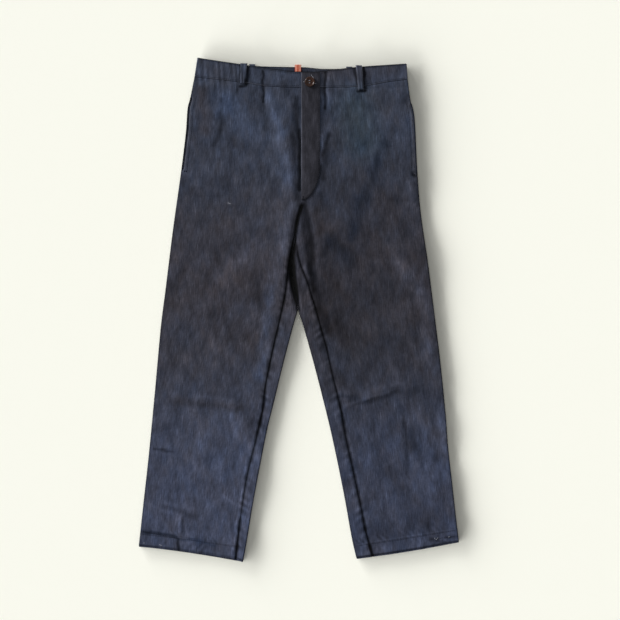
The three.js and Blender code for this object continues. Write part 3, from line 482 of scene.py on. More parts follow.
SHEEN_HAZE = 0.004  # what the nap scatters back, whatever the dye
MOUTH_STRIP_PAINTED_LIGHT = 1.2  # painted light: how much paler the strip beyond the left pocket's mouth is made, where the front's edge would shade it
INSIDE_SHADE = 0.8  # painted shade: the waistband's inside, as a share of its outside
LOOP_WEAR = 1.2  # of the belt loops' tone
FAR = 99  # a distance at which no edge shows


# Interpolation


def ease(t):
    t = np.clip(t, 0, 1)
    return t * t * (3 - 2 * t)


def ramp(start, end, value):
    return ease((value - start) / (end - start))


def mix(a, b, t):
    return a + (b - a) * t


def bell(distance, reach):
    """1 at no distance, falling smoothly to 0 around it."""
    return np.exp(-((distance / reach) ** 2))


def through(rows, start, end):
    """A smooth function through the rows of a table, from one column to another."""
    order = np.argsort(rows[start])
    at, value = rows[start][order], rows[end][order]
    before = np.maximum(np.arange(len(at)) - 1, 0)
    after = np.minimum(np.arange(len(at)) + 1, len(at) - 1)
    slope = (value[after] - value[before]) / (at[after] - at[before])

    def curve(x):
        x = np.asarray(x, float)
        i = np.clip(np.searchsorted(at, x) - 1, 0, len(at) - 2)
        span = at[i + 1] - at[i]
        t = np.clip((x - at[i]) / span, 0, 1)
        inside = (
            (2 * t**3 - 3 * t**2 + 1) * value[i]
            + (t**3 - 2 * t**2 + t) * span * slope[i]
            + (3 * t**2 - 2 * t**3) * value[i + 1]
            + (t**3 - t**2) * span * slope[i + 1]
        )
        past = np.minimum(x - at[0], 0) * slope[0] + np.maximum(x - at[-1], 0) * slope[-1]
        return inside + past

    return curve


def uneven(x, y, seed, length, stretch=1.0, waves=14):
    """A smooth random field of about -1 to 1, of that wavelength, drawn out along y."""
    rng = np.random.default_rng(seed)
    total = 0
    for _ in range(waves):
        angle, phase = rng.uniform(0, 2 * math.pi, 2)
        turn = 2 * math.pi / (length * rng.uniform(0.7, 1.7))
        total = total + np.cos(turn * (x * math.cos(angle) + y * math.sin(angle) / stretch) + phase)
    return total / math.sqrt(waves)


def layers(x, y, rows):
    """The sum of uneven fields, each with its strength, seed, length and stretch."""
    return sum(strength * uneven(x, y, *field) for strength, *field in rows)


def wandering(x, y, rows):
    """Places moved a little, so that a straight line through them wanders."""
    wx, wy = x, y
    for size, seed_x, seed_y, length in rows:
        wx = wx + size * uneven(x, y, seed_x, length)
        wy = wy + size * uneven(x, y, seed_y, length)
    return wx, wy


class Leg:
    """One leg's outline, and which way is outward on it."""

    def __init__(self, outward, side, fold, inseam, sections, hem_bow, mouth):
        self.outward = outward
        self.side = through(side, "y", "x")
        self.fold = through(fold, "y", "x")
        self.inseam = through(inseam, "y", "x")
        self.top_x = side["x"][0]
        self.sections = sections
        self.hem_bow = hem_bow
        self.mouth_top, self.mouth_bottom = mouth


LEGS = {
    "right": Leg(-1, RIGHT_SIDE, RIGHT_FOLD, RIGHT_INSEAM, RIGHT_SECTIONS, 2, (414, 270)),
    "left": Leg(1, LEFT_SIDE, LEFT_FOLD, LEFT_INSEAM, LEFT_SECTIONS, -1.5, (402, 263)),
}
seam_y = through(WAIST_SEAM, "x", "y")
front_top_y = through(FRONT_TOP, "x", "y")
back_top_y = through(BACK_TOP, "x", "y")
waist_height = through(WAIST_HEIGHT, "x", "z")
rise_x = through(RISE_SEAM, "y", "x")
valley_x = through(VALLEY, "y", "x")


def between_legs(y):
    """x of the line between the legs, which goes straight on above the crotch and below the fold."""
    return valley_x(np.clip(y, 0, CROTCH_Y))


def on_leg(leg, x, y):
    return (x - between_legs(y)) * leg.outward > 0


# Heights


def lines_at(rows, x, y, spread=SPREAD):
    """Each line of a table by name, how far along it a place lies, and 1 on it falling to 0."""
    for values in zip(*rows.values()):
        line = dict(zip(rows, values))
        dx, dy = line["x1"] - line["x0"], line["y1"] - line["y0"]
        t = np.clip(((x - line["x0"]) * dx + (y - line["y0"]) * dy) / (dx * dx + dy * dy), 0, 1)
        away = np.hypot(x - line["x0"] - t * dx, y - line["y0"] - t * dy)
        yield line, t, 1 - ease(away / (spread * line["width"]))


class Joined:
    """A sum in which the greater of two overlapping values tells, up and down apart."""

    def __init__(self, shape):
        self.up, self.down = np.zeros(shape), np.zeros(shape)

    def add(self, value):
        self.up += np.maximum(value, 0) ** 3
        self.down += np.maximum(-value, 0) ** 3

    def total(self):
        return np.cbrt(self.up) - np.cbrt(self.down)


def folds_at(x, y):
    return sum(line["height"] * near for line, _, near in lines_at(FOLDS, x, y))


def creases_at(x, y):
    """The finer creases, wandering a little from their straight lines."""
    heights = Joined(np.shape(x))
    for line, t, near in lines_at(CREASES, *wandering(x, y, CREASE_WANDER)):
        heights.add(mix(line["start"], line["end"], t) * near)
    return CREASE_DEPTH * heights.total()


def from_inseam(leg, x, y):
    """How far outward of the inseam a place is, and 1 where the inseam runs."""
    return (x - leg.inseam(y)) * leg.outward, ramp(CROTCH_Y, CROTCH_Y - 30, y)


def pucker_waves(s, seed, length):
    """Uneven waves along a seam, of about that length."""
    turn = 2 * math.pi * s / length + 1.9 * uneven(s, 0 * s, seed, 3.1 * length)
    return np.sin(turn) * (0.65 + 0.5 * uneven(s, 0 * s, seed + 1, 2.3 * length))


def puckers_at(x, y):
    """Small waves where stitching has drawn the cloth in."""
    total = np.zeros(np.shape(x))
    inner, side, band = INSEAM_PUCKERS, SIDE_PUCKERS, BAND_PUCKERS
    for seed, leg in ((11, LEGS["right"]), (21, LEGS["left"])):
        mine = on_leg(leg, x, y)
        away, below = from_inseam(leg, x, y)
        near = bell(away, inner["reach"]) + inner["share"] * bell(away + inner["beyond"], inner["reach"])
        waves = pucker_waves(y + inner["lean"] * away, seed, inner["length"])
        total += inner["height"] * below * mine * near * waves
        total += INSEAM["depth"] * below * mine * bell(away, INSEAM["width"])
        from_side = (leg.side(y) - x) * leg.outward
        waves = pucker_waves(y + from_side, seed + 4, side["length"])
        total += side["height"] * bell(from_side, side["reach"]) * mine * waves
        from_hem = y - hem_line(leg, x)
        for n, rope in enumerate(HEM_PUCKERS):
            waves = pucker_waves(x * HEM_TWIST + rope["lean"] * from_hem, seed + 8 + n, rope["length"])
            total += rope["height"] * bell(from_hem - rope["above"], rope["reach"]) * mine * waves
    gathered = band["least"] + (1 - band["least"]) * ramp(*BAND_GATHER["across"], x)
    waves = pucker_waves(x + band["lean"] * (y - band["from_y"]), 31, band["length"])
    return total + band["height"] * gathered * ramp(*BAND_GATHER["up"], y) * waves


def hem_line(leg, x):
    """y of the hem's stitch line, 25 mm above the edge, at an x of the leg's lower end."""
    rows = leg.sections
    outer_x, inner_x = leg.side(rows["outer"][HEM_TOP_ROW]), leg.fold(rows["back"][HEM_TOP_ROW])
    share = np.clip((x - outer_x) / (inner_x - outer_x), 0, 1)
    bow = leg.hem_bow * np.sin(math.pi * share)
    return mix(rows["outer"][HEM_TOP_ROW], rows["back"][HEM_TOP_ROW], share) + bow


def over_bag(leg, x, y):
    """1 over a pocket bag, falling to 0 around it."""
    inward = (leg.side(y) - x) * leg.outward
    reach = BAG["far"] + BAG["margin"]
    low = leg.mouth_bottom - BAG["below"] - BAG["margin"]
    high = leg.mouth_top + BAG["margin"]
    across = 1 - ramp(reach, reach + BAG["fade"], inward)
    return across * ramp(low - BAG["fade"], low, y) * (1 - ramp(high, high + BAG["fade"], y))


def under_height(y):
    """Middle of the back's cloth, which rises over the belt loops at the waist."""
    return mix(TABLE_MID, BACK_BAND_MID, ramp(*BACK_RISE, y))


def keep_over(z, floor, softness=0.25):
    """The greater of two heights, without a sharp corner."""
    return floor + softness * np.logaddexp(0, (z - floor) / softness)


def top_height(x, y):
    """Middle of the front's cloth, and of the back's where it folds over to the front."""
    x, y = np.broadcast_arrays(np.asarray(x, float), np.asarray(y, float))
    right, left = LEGS["right"], LEGS["left"]
    on_right = on_leg(right, x, y)
    side = np.where(on_right, right.side(y), left.side(y))
    fold = np.where(on_right, right.fold(y), left.fold(y))
    near_side = bell(side - x, EDGE_REACH)
    near_fold = np.where(y < 0, bell(fold - x, EDGE_REACH), 0)
    z = REST_HEIGHT + EDGE_LIFT * np.maximum(near_side, near_fold) + folds_at(x, y)
    loft = CROTCH_LOFT
    away = np.hypot((x - loft["x"]) / loft["rx"], (y - loft["y"]) / loft["ry"])
    z = np.clip(z + loft["height"] * (1 - ease(away)), TOP_FLOOR, TOP_CEILING)
    line = np.where(y > CROTCH_Y, rise_x(y), valley_x(np.maximum(0, y)))
    strength = ramp(*VALLEY_FOLD["foot"], y) * (1 - ramp(*VALLEY_FOLD["head"], y))
    z += VALLEY_FOLD["height"] * strength * (1 - ease(np.abs(x - line) / (SPREAD * VALLEY_FOLD["width"])))
    over_bags = np.maximum(over_bag(right, x, y), over_bag(left, x, y))
    floor = mix(TOP_FLOOR, under_height(y) + 3 * BAG_STEP, over_bags)
    z = np.maximum(z, floor)
    z = np.maximum(mix(z, waist_height(x), ramp(WAIST_BLEND, seam_y(x), y)), floor)
    return keep_over(z + fine_relief(x, y), floor - CREASE_SINK)


def fine_relief(x, y):
    """Creases, puckers and the unevenness of worn cloth."""
    return creases_at(x, y) + PUCKER_HEIGHT * puckers_at(x, y) + layers(x, y, WORN_HEIGHT)


def over_underlap(x):
    return 1 - ramp(UNDERLAP_EDGE + 4, UNDERLAP_EDGE + 30, x)


def fly_lift(x, y):
    return FLY_LIFT * over_underlap(x) * ramp(FLY_END - 20, FLY_END + 3, y)


def band_height(x, y, is_left):
    """Middle of the waistband's cloth on the front."""
    floor = BACK_BAND_MID + BAND_CLOTH + GAP
    clear = np.maximum(waist_height(x), floor)
    lift = BAND_LIFT * over_underlap(x) if is_left else 0
    return keep_over(clear + BAND_RELIEF * fine_relief(x, y), floor) + lift


def placket_height(x, y):
    """Middle of the fly placket's cloth."""
    on_panel = top_height(x, np.minimum(y, seam_y(x))) + fly_lift(x, y) + PLACKET["lift"]
    on_band = band_height(x, y, True) + (BAND_CLOTH + CLOTH) / 2 + LAP_GAP
    z = mix(on_panel, np.maximum(on_panel, on_band), ramp(seam_y(x) - 15, seam_y(x) - 4, y))
    return z + 0.08 * uneven(x, y, 8, 13, 3)


# Colour of the cloth


def to_linear(colour):
    c = np.asarray(colour, float) / 255
    return np.where(c <= 0.04045, c / 12.92, ((c + 0.055) / 1.055) ** 2.4)


def dye(colour):
    """The colour that looks like this one in the light that falls on the cloth."""
    return np.maximum(to_linear(colour) - SHEEN_HAZE, 0.002) / CLOTH_LIGHT


def on_underside(y, z):
    """1 on the cloth that lies on the table, 0 on what lies over it."""
    return 1 - ramp(*UNDERSIDE, z - under_height(y))


def cloth_tone(x, y, z):
    """The cloth's colour at a place, in linear light: its worn dye and stains, with painted shade in creases,
    seams and the deep fold.
    """
    hidden = on_underside(y, z)
    tone = np.array(NAVY, float)
    for state, colour in (("washed", WASHED), ("soiled", SOILED)):
        tone = mix(tone, np.array(colour, float), through(WEAR, "y", state)(y)[..., None])
    for colour, rows in STAINS:
        for line, _, near in lines_at(rows, x, y, STAIN_SPREAD):
            share = line["strength"] * near * (1 - hidden)
            tone = mix(tone, np.array(colour, float), share[..., None])
    light, blue = wear_and_shade_at(x, y)
    # creases paler where they stand up, from wear, and darker where they sink, as painted shade
    light += RIDGE_WEAR_AND_TROUGH_SHADE * (creases_at(x, y) + PUCKER_WEAR_AND_SHADE * puckers_at(x, y))
    light -= through(LEFT_DEEPER, "y", "dark")(y) * on_leg(LEGS["left"], x, y)
    for leg in LEGS.values():
        away, below = from_inseam(leg, x, y)
        depth, reach = inseam_shade(leg, y)
        # painted shade along the inseam's groove
        light += INSEAM["dark"] * depth * below * bell(away, reach)
        from_step = y - hem_line(leg, x) + HEM_SHADE["below"]
        light += HEM_SHADE["dark"] * on_leg(leg, x, y) * bell(from_step, HEM_SHADE["reach"])
        strip = ramp(*INSEAM_STRIP["near"], away) * ramp(*INSEAM_STRIP["far"], away)
        light += INSEAM["strip"] * below * strip
    light += DEEP_FOLD["dark"] * deep_fold_at(x, y)
    light, blue = light * (1 - hidden), blue * (1 - hidden)
    light += hidden * back_wear_and_shade(x, y)
    light += layers(x, y, WORN_LIGHT)
    blue += layers(x, y, WORN_BLUE)
    shift = light[..., None] + blue[..., None] * np.array([-1, 0, 1])
    return dye(np.clip(tone * np.exp(shift), 5, 250))


def inseam_shade(leg, y):
    """How dark and how wide the inseam's shade is at a height."""
    side = "right" if leg.outward < 0 else "left"
    depth = through(INSEAM_SHADE, "y", side)(y) * (1 + INSEAM_UNEVEN["depth"] * uneven(0 * y, y, 48, 24))
    reach = INSEAM["reach"] * (1 + INSEAM_UNEVEN["reach"] * uneven(0 * y, y, 50, 45))
    return np.clip(depth, 0.1, 2), reach


def back_wear_and_shade(x, y):
    """How much lighter the side that lies on the table is at a place."""
    light = SEAT_SHADE["dark"] * ramp(0, 20, y) * bell(x - CENTRE_BACK, SEAT_SHADE["reach"])
    for line, _, near in lines_at(BACK_CREASES, *wandering(x, y, BACK_WANDER)):
        light += line["light"] * near
    return light


def deep_fold_at(x, y):
    """1 in the deep fold between the legs, falling to 0 around it."""
    line = np.where(y > CROTCH_Y, rise_x(y), between_legs(y))
    halfway = ramp(*DEEP_FOLD_WIDENS, y) * (1 - ramp(*DEEP_FOLD_NARROWS, y))
    reach = mix(DEEP_FOLD["ends"], DEEP_FOLD["middle"], halfway)
    run = ramp(*DEEP_FOLD["foot"], y) * (1 - ramp(*DEEP_FOLD["head"], y))
    return run * np.exp(-(((x - line) / reach) ** 4))


def wear_and_shade_at(x, y):
    """How much lighter and how much bluer the cloth is at a place, from wear and from painted shade along
    creases, folds and belt loops.
    """
    light, blue = Joined(np.shape(x)), np.zeros(np.shape(x))
    for line, _, near in lines_at(WEAR_AND_SHADE_PLACES, *wandering(x, y, WEAR_AND_SHADE_WANDER)):
        light.add(line["light"] * near)
        blue += line["blue"] * near
    return light.total(), blue


def edge_shade(tone, distance):
    """The tone darkened where the cloth turns away from the light at its outer edge."""
    return tone * (1 - EDGE_SHADE["strength"] * bell(distance, EDGE_SHADE["reach"]))[..., None]


def worn_edge(tone, distance, reach, strength):
    """The tone paled towards an edge at that distance."""
    share = strength * bell(distance, reach)
    return mix(tone, dye(EDGE_TONE), share[..., None])


# Sheets of cloth


def as_grid(x, y, z, out, thick):
    """A grid of cloth points: each one's middle, outward direction and thickness."""
    x, y, z = np.broadcast_arrays(np.asarray(x, float), y, z)
    out = np.broadcast_to(np.stack(np.broadcast_arrays(*out), -1), x.shape + (3,))
    return dict(at=np.stack([x, y, z], -1), out=out, thick=np.broadcast_to(thick, x.shape))


def side_by_side(*grids):
    return {key: np.concatenate([g[key] for g in grids], 1) for key in grids[0]}


def rounded(grid, half, sides="nsew"):
    """Thins the cloth towards the grid's open sides, so that its edges are round."""
    at, thick = grid["at"], grid["thick"].copy()
    for letter, axis, first in (("n", 0, True), ("s", 0, False), ("w", 1, True), ("e", 1, False)):
        if letter not in sides:
            continue
        steps = np.linalg.norm(np.diff(at, axis=axis), axis=-1)
        run = np.cumsum(steps if first else np.flip(steps, axis), axis)
        zero = np.zeros_like(np.take(run, [0], axis))
        away = np.concatenate([zero, run], axis)
        away = away if first else np.flip(away, axis)
        t = np.clip(away / half, 0, 1)
        thick = thick * np.maximum(0.3, np.sqrt(1 - (1 - t) ** 2))
    return dict(grid, thick=thick)


def shares(count, width, soft=(0.12, 0.35, 0.8)):
    """Shares from 0 to 1 across a width, with close ones near both ends for a round edge."""
    near = np.array(soft) / width
    return np.unique(np.concatenate([np.linspace(0, 1, count + 1), near, 1 - near]))


def grain(grid):
    """Texture coordinates along the grid's rows and columns, 1 for each 100 mm."""
    at = grid["at"]
    across = np.linalg.norm(np.diff(at, axis=1), axis=-1)
    down = np.linalg.norm(np.diff(at, axis=0), axis=-1)
    u = np.pad(np.cumsum(across, 1), ((0, 0), (1, 0)))
    v = np.pad(np.cumsum(down, 0), ((1, 0), (0, 0)))
    middle = v[:, v.shape[1] // 2]
    return np.stack([u - u[:, -1:] / 2, np.broadcast_to(-middle[:, None], u.shape)], -1) / 100


def leg_grain(leg):
    """Texture coordinates of a panel, whose grain leans with the middle of its leg."""

    def uv_at(x, y):
        middle = (leg.side(y) + leg.fold(np.minimum(y, 0))) / 2
        return np.stack([x - GRAIN_LEAN * middle, -y], -1) / 100

    return uv_at


def quads_of(ids):
    """The faces of a grid of vertex numbers."""
    return np.stack([ids[:-1, :-1], ids[1:, :-1], ids[1:, 1:], ids[:-1, 1:]], -1).reshape(-1, 4)


def add_mesh(name, points, faces, material, uv=None, tone=None):
    """A smooth piece of the part, from points in millimetres."""
    mesh = bpy.data.meshes.new(name)
    mesh.from_pydata((np.asarray(points) * MM).tolist(), [], faces)
    corner = np.empty(len(mesh.loops), int)
    mesh.loops.foreach_get("vertex_index", corner)
    if uv is not None:
        layer = mesh.uv_layers.new(name="grain")
        layer.data.foreach_set("uv", np.asarray(uv)[corner].ravel())
    if tone is not None:
        layer = mesh.color_attributes.new("tone", "FLOAT_COLOR", "POINT")
        layer.data.foreach_set("color", np.c_[tone, np.ones(len(tone))].ravel())
    mesh.materials.append(material)
    mesh.shade_smooth()
    mesh.set_sharp_from_angle(angle=math.radians(62))
    piece = bpy.data.objects.new(name, mesh)
    bpy.context.scene.collection.objects.link(piece)
    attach(piece, "root")
    return piece


def add_sheet(name, grids, tone_at, material, slot, uv_at=None):
    """A closed sheet of cloth from grids that share their points where they meet."""
    at = np.concatenate([g["at"].reshape(-1, 3) for g in grids])
    _, first, number = np.unique(np.round(at, 3), axis=0, return_index=True, return_inverse=True)
    number = number.ravel()
    pick = lambda key, size: np.concatenate([g[key].reshape(-1, size) for g in grids])[first]
    middle, out, thick = pick("at", 3), pick("out", 3), pick("thick", 1)
    uv = np.concatenate([grain(g).reshape(-1, 2) for g in grids])[first]
    if uv_at is not None:
        uv = uv_at(middle[:, 0], middle[:, 1])
    faces, start = [], 0
    for g in grids:
        size = g["at"].shape[:2]
        faces.append(quads_of(number[start:start + size[0] * size[1]].reshape(size)))
        start += size[0] * size[1]
    faces = np.concatenate(faces)
    corners = middle[faces]
    normal = np.cross(corners[:, 2] - corners[:, 0], corners[:, 3] - corners[:, 1])
    if np.einsum("ij,ij->", normal, out[faces[:, 0]]) < 0:
        faces = faces[:, ::-1]
    count = len(middle)
    edges = np.stack([faces, np.roll(faces, -1, 1)], -1).reshape(-1, 2)
    edges = edges[edges[:, 0] != edges[:, 1]]
    key, back = edges[:, 0] * count + edges[:, 1], edges[:, 1] * count + edges[:, 0]
    rim = edges[~np.isin(key, back)]
    walls = np.stack([rim[:, 1], rim[:, 0], rim[:, 0] + count, rim[:, 1] + count], -1)
    solid = np.concatenate([faces, faces[:, ::-1] + count, walls]).tolist()
    solid = [list(dict.fromkeys(face)) for face in solid]
    points = np.concatenate([middle + out * thick / 2, middle - out * thick / 2])
    tone = tone_at(middle[:, 0], middle[:, 1], middle[:, 2], uv)
    return add_mesh(
        name, points, [f for f in solid if len(f) > 2], material, np.r_[uv, uv], np.r_[tone, tone]
    )


# Panels


def leg_rows(leg):
    """The rows of a leg, from the waist to the hem, each value as a column."""
    steps = leg.sections["steps"].astype(int) * ROW_FINENESS
    place = np.concatenate([[0]] + [i - 1 + np.arange(1, n + 1) / n for i, n in enumerate(steps) if n])
    whole = np.arange(len(steps))
    rows = {key: np.interp(place, whole, leg.sections[key])[:, None] for key in ("outer", "back", "inner")}
    place = place[:, None]
    return dict(rows, place=place, extra=HEM_PLY * ramp(HEM_TOP_ROW, HEM_TOP_ROW + 1, place))


def top_mid(x, y, rows):
    return top_height(x, y) + HEM_RISE * rows["extra"]


def under_mid(y, rows):
    return under_height(y) + rows["extra"] / 2


def mouth_at(leg, y):
    """How open the pocket's mouth is at a height, from 0 to 1."""
    top, bottom = leg.mouth_top, leg.mouth_bottom
    return ramp(bottom - 4, bottom + 6, y) * (1 - ramp(top - 6, top + 4, y))


def band_low(x, back):
    """The waistband's lower edge, on the front where back is 0 and on the back where it is 1."""
    return mix(seam_y(x), back_top_y(x) - BAND_DEPTH, back)


def row_height(rows, leg, share, inner, x, back):
    """The height of a point in a row, bent onto the waistband's edge or the hem's curve."""
    to_waist = 1 - ramp(0, 1.6, rows["place"])
    top = mix(leg.sections["outer"][0], leg.sections[inner][0], share)
    drop = band_low(x, back) - WAIST_GAP - top
    bow = leg.hem_bow * np.sin(math.pi * share) * ramp(HEM_TOP_ROW, HEM_ROW, rows["place"])
    return mix(rows["outer"], rows[inner], share) + drop * to_waist + bow


def front_inner(leg, y):
    """x of a front's inner edge: fly or underlap, then rise seam, then inseam."""
    gap = leg.outward * GAP / 2
    seam = rise_x(np.minimum(y, FLY_END)) + gap
    if leg.outward > 0:
        upper = np.where(y > FLY_END, FLY_EDGE, seam)
    else:
        upper = mix(seam, UNDERLAP_EDGE, ramp(FLY_END + 4, UNDERLAP_END, y))
    return np.where(y <= CROTCH_Y, leg.inseam(y) + gap, upper)


def side_turn(leg, y, thick):
    """x of the side seam, of the turn's end and of the quarter turn between them, and its angles."""
    side_x = leg.side(y) - leg.outward * thick / 2
    angle = SIDE_TURN * math.pi / 2
    turn_x = side_x - leg.outward * FOLD_REACH * (1 - np.cos(angle))
    return side_x, side_x - leg.outward * FOLD_REACH, turn_x, angle


def front_panel(leg):
    rows = leg_rows(leg)
    y, thick, outward = rows["outer"], CLOTH + rows["extra"], leg.outward
    side_x, start_x, turn_x, angle = side_turn(leg, y, thick)
    open_ = mouth_at(leg, y)
    start_z = top_mid(start_x, y, rows) + MOUTH_RISE * open_
    seam_z = (top_mid(start_x, y, rows) + under_mid(y, rows)) / 2 + GAP / 2
    turn_y = row_height(rows, leg, 0, "inner", turn_x, (1 - SIDE_TURN) / 2)
    turn_z = mix(seam_z, start_z, np.sin(angle))
    open_x = side_x - outward * (MOUTH_INSET + SIDE_TURN * FOLD_REACH)
    out_x, out_z = mix(outward * np.cos(angle), 0, open_), mix(np.sin(angle), 1, open_)
    size = np.hypot(out_x, out_z)
    turn_x, turn_z = mix(turn_x, open_x, open_), mix(turn_z, start_z, open_)
    turn = as_grid(turn_x, turn_y, turn_z, (out_x / size, 0, out_z / size), thick)
    share = shares(*GRIDS["front"])[None, :]
    x = mix(start_x - outward * MOUTH_INSET * open_, front_inner(leg, rows["inner"]), share)
    across_y = row_height(rows, leg, share, "inner", x, 0)
    lift = fly_lift(x, across_y) if outward > 0 else 0
    z = top_mid(x, across_y, rows) + lift + MOUTH_RISE * open_ * (1 - ease(4 * share))
    return [rounded(side_by_side(turn, as_grid(x, across_y, z, (0, 0, 1), thick)), CLOTH / 2)]


def back_panel(leg):
    rows = leg_rows(leg)
    outward = leg.outward
    own_side = outward * GAP / 2
    y, thick = rows["outer"], CLOTH + rows["extra"]
    _, start_x, turn_x, angle = side_turn(leg, y, thick)
    seam_z = (top_mid(start_x, y, rows) + under_mid(y, rows)) / 2 - GAP / 2
    turn_y = row_height(rows, leg, 0, "back", turn_x, (1 + SIDE_TURN) / 2)
    turn_z = mix(seam_z, under_mid(y, rows), np.sin(angle))
    turn = as_grid(turn_x, turn_y, turn_z, (outward * np.cos(angle), 0, -np.sin(angle)), thick)
    fold_x = leg.fold(np.minimum(0, rows["back"])) + outward * (thick / 2 + FOLD_REACH)

    share = shares(*GRIDS["back"], (0.12, 0.35, 0.8, 2.4, 3.2))[None, :]
    x = mix(start_x, fold_x, share)
    across_y = row_height(rows, leg, share, "back", x, 1)
    under = side_by_side(turn, as_grid(x, across_y, under_mid(across_y, rows), (0, 0, -1), thick))
    x = mix(fold_x, CENTRE_BACK + own_side, np.array([[0.3, 0.6, 0.8, 1]]))
    edge_y = row_height(rows, leg, 1.0, "back", x, 1)
    to_centre = as_grid(x, edge_y, under_mid(edge_y, rows), (0, 0, -1), thick)

    low_z = under_mid(rows["back"], rows)
    high_z = top_mid(fold_x, rows["back"], rows)
    angle = (np.linspace(0, 1, 9)[None, 1:] - 0.5) * math.pi
    wrap = as_grid(
        fold_x - outward * FOLD_REACH * np.cos(angle),
        rows["back"],
        (low_z + high_z) / 2 + (high_z - low_z) / 2 * np.sin(angle),
        (-outward * np.cos(angle), 0, np.sin(angle)),
        thick,
    )
    share = shares(*GRIDS["inner_strip"])[None, 1:]
    seam_x = leg.inseam(rows["inner"]) - own_side
    strip_y = mix(rows["back"], rows["inner"], share)
    rise = between_legs(strip_y) + outward * GAP
    in_valley = 1 - ramp(CROTCH_ROW, CROTCH_ROW + 1.2, rows["place"])
    valley = mix(fold_x, mix(rise, seam_x, ramp(0.8, 1, share)), ramp(0, 0.25, share))
    x = mix(mix(fold_x, seam_x, share), valley, in_valley)
    x = outward * np.maximum(outward * x, outward * rise)
    strip = as_grid(x, strip_y, top_mid(x, strip_y, rows), (0, 0, 1), thick)
    over = side_by_side(under, wrap, strip)
    crotch = int(np.argmin(np.abs(rows["place"] - CROTCH_ROW)))
    seat = {key: value[:crotch + 1] for key, value in side_by_side(under, to_centre).items()}
    lower = {key: value[crotch:] for key, value in over.items()}
    return [seat, rounded(lower, CLOTH / 2, "se")]


def waistband(leg):
    """One half of the waistband, from the fly round the side to the centre back."""
    outward, is_left = leg.outward, leg.outward > 0
    up = shares(*GRIDS["band_up"])[:, None]
    side_x = mix(leg.side(leg.sections["outer"][0]), leg.top_x, up) - outward * BAND_CLOTH / 2
    turn_x = side_x - outward * FOLD_REACH
    fly_end = FLY_EDGE if is_left else UNDERLAP_EDGE
    back_end = CENTRE_BACK + outward * GAP / 2

    share = np.flip(shares(*GRIDS["band_front"]))[None, :]
    x = mix(turn_x, fly_end, share)
    y = mix(band_low(x, 0), front_top_y(x), up)
    front = as_grid(x, y, band_height(x, y, is_left), (0, 0, 1), BAND_CLOTH)

    start_z = front["at"][:, -1:, 2]
    share = np.linspace(0, 1, 11)[None, 1:-1]
    angle = (0.5 - share) * math.pi
    x = side_x - outward * FOLD_REACH * (1 - np.cos(angle))
    y = mix(band_low(x, share), mix(front_top_y(x), back_top_y(x), share), up)
    z = (start_z + BACK_BAND_MID) / 2 + (start_z - BACK_BAND_MID) / 2 * np.sin(angle)
    turn = as_grid(x, y, z, (outward * np.cos(angle), 0, np.sin(angle)), BAND_CLOTH)

    share = shares(*GRIDS["band_back"])[None, :]
    x = mix(turn_x, back_end, share)
    y = mix(band_low(x, 1), back_top_y(x), up)
    wave = BACK_BAND_WAVE * pucker_waves(x, 61, 13) * ramp(0, 1, up) * ramp(0, 8, np.abs(x - back_end))
    back = as_grid(x, y, BACK_BAND_MID + wave, (0, 0, -1), BAND_CLOTH)
    return [rounded(side_by_side(front, turn, back), BAND_CLOTH / 2)]


def placket_width(y, width):
    """The width left at a height by the curve that ends the placket."""
    to_tip = np.clip((PLACKET["curve_top"] - y) / (PLACKET["curve_top"] - PLACKET["bottom"]), 0, 1)
    return width * np.sqrt(1 - to_tip**2)


def fly_placket():
    down = shares(*GRIDS["placket_down"])[:, None]
    edge_y = mix(front_top_y(FLY_EDGE) - PLACKET["inset"], PLACKET["bottom"], down)
    width = np.maximum(PLACKET["tip"], placket_width(edge_y, PLACKET["width"]))
    across = shares(*GRIDS["placket_across"])[None, :]
    x = FLY_EDGE + width * across
    y = mix(front_top_y(x) - PLACKET["inset"], PLACKET["bottom"], down)
    return [rounded(as_grid(x, y, placket_height(x, y), (0, 0, 1), CLOTH), CLOTH / 2)]


def pocket_bag(leg):
    """A side pocket's bag: two plies joined by the fold furthest from the side seam."""
    y = mix(leg.mouth_top + BAG["above"], leg.mouth_bottom - BAG["below"], np.linspace(0, 1, 30)[:, None])
    low = under_height(y) + BAG_STEP
    near, far = (leg.side(y) - leg.outward * BAG[key] for key in ("near", "far"))
    share = np.linspace(0, 1, 10)[None, :]
    angle = (np.linspace(0, 1, 7)[None, 1:-1] - 0.5) * math.pi
    turn_z = low + BAG_STEP / 2 + BAG_STEP / 2 * np.sin(angle)
    out = (-leg.outward * np.cos(angle), 0, np.sin(angle))
    lower = as_grid(mix(near, far, share), y, low, (0, 0, -1), CLOTH)
    turn = as_grid(far - leg.outward * np.cos(angle), y, turn_z, out, CLOTH)
    upper = as_grid(mix(far, near, share), y, low + BAG_STEP, (0, 0, 1), CLOTH)
    return [rounded(side_by_side(lower, turn, upper), CLOTH / 2)]


def front_loop(x, lean, low, high, below_seam, cut):
    """A belt loop on the front: folded under and sewn at both ends, and arched between them."""
    share = shares(40, cut)[:, None]
    across = shares(10, high)[None, :]
    y = mix(seam_y(x) - below_seam, front_top_y(x) + LOOP["over_top"], share)
    at = x + (across - 0.5) * mix(low, high, share) + lean * (share - 0.5)
    on_band = band_height(at, y, False) + BAND_CLOTH / 2
    on_panel = top_height(at, np.minimum(y, seam_y(at))) + CLOTH / 2
    under = np.max(np.maximum(on_panel, on_band), axis=1, keepdims=True) + LAP_GAP
    thick = mix(LOOP["end_thick"], LOOP["thick"], ramp(0, LOOP["folded_share"], np.minimum(share, 1 - share)))
    welt = LOOP["welt"] * np.cos(4 * math.pi * across)
    z = under + thick / 2 + LOOP["arch"] * np.sin(math.pi * share) ** 0.8 - welt
    return [rounded(as_grid(at, y, z, (0, 0, 1), thick), LOOP["thick"] / 2)]


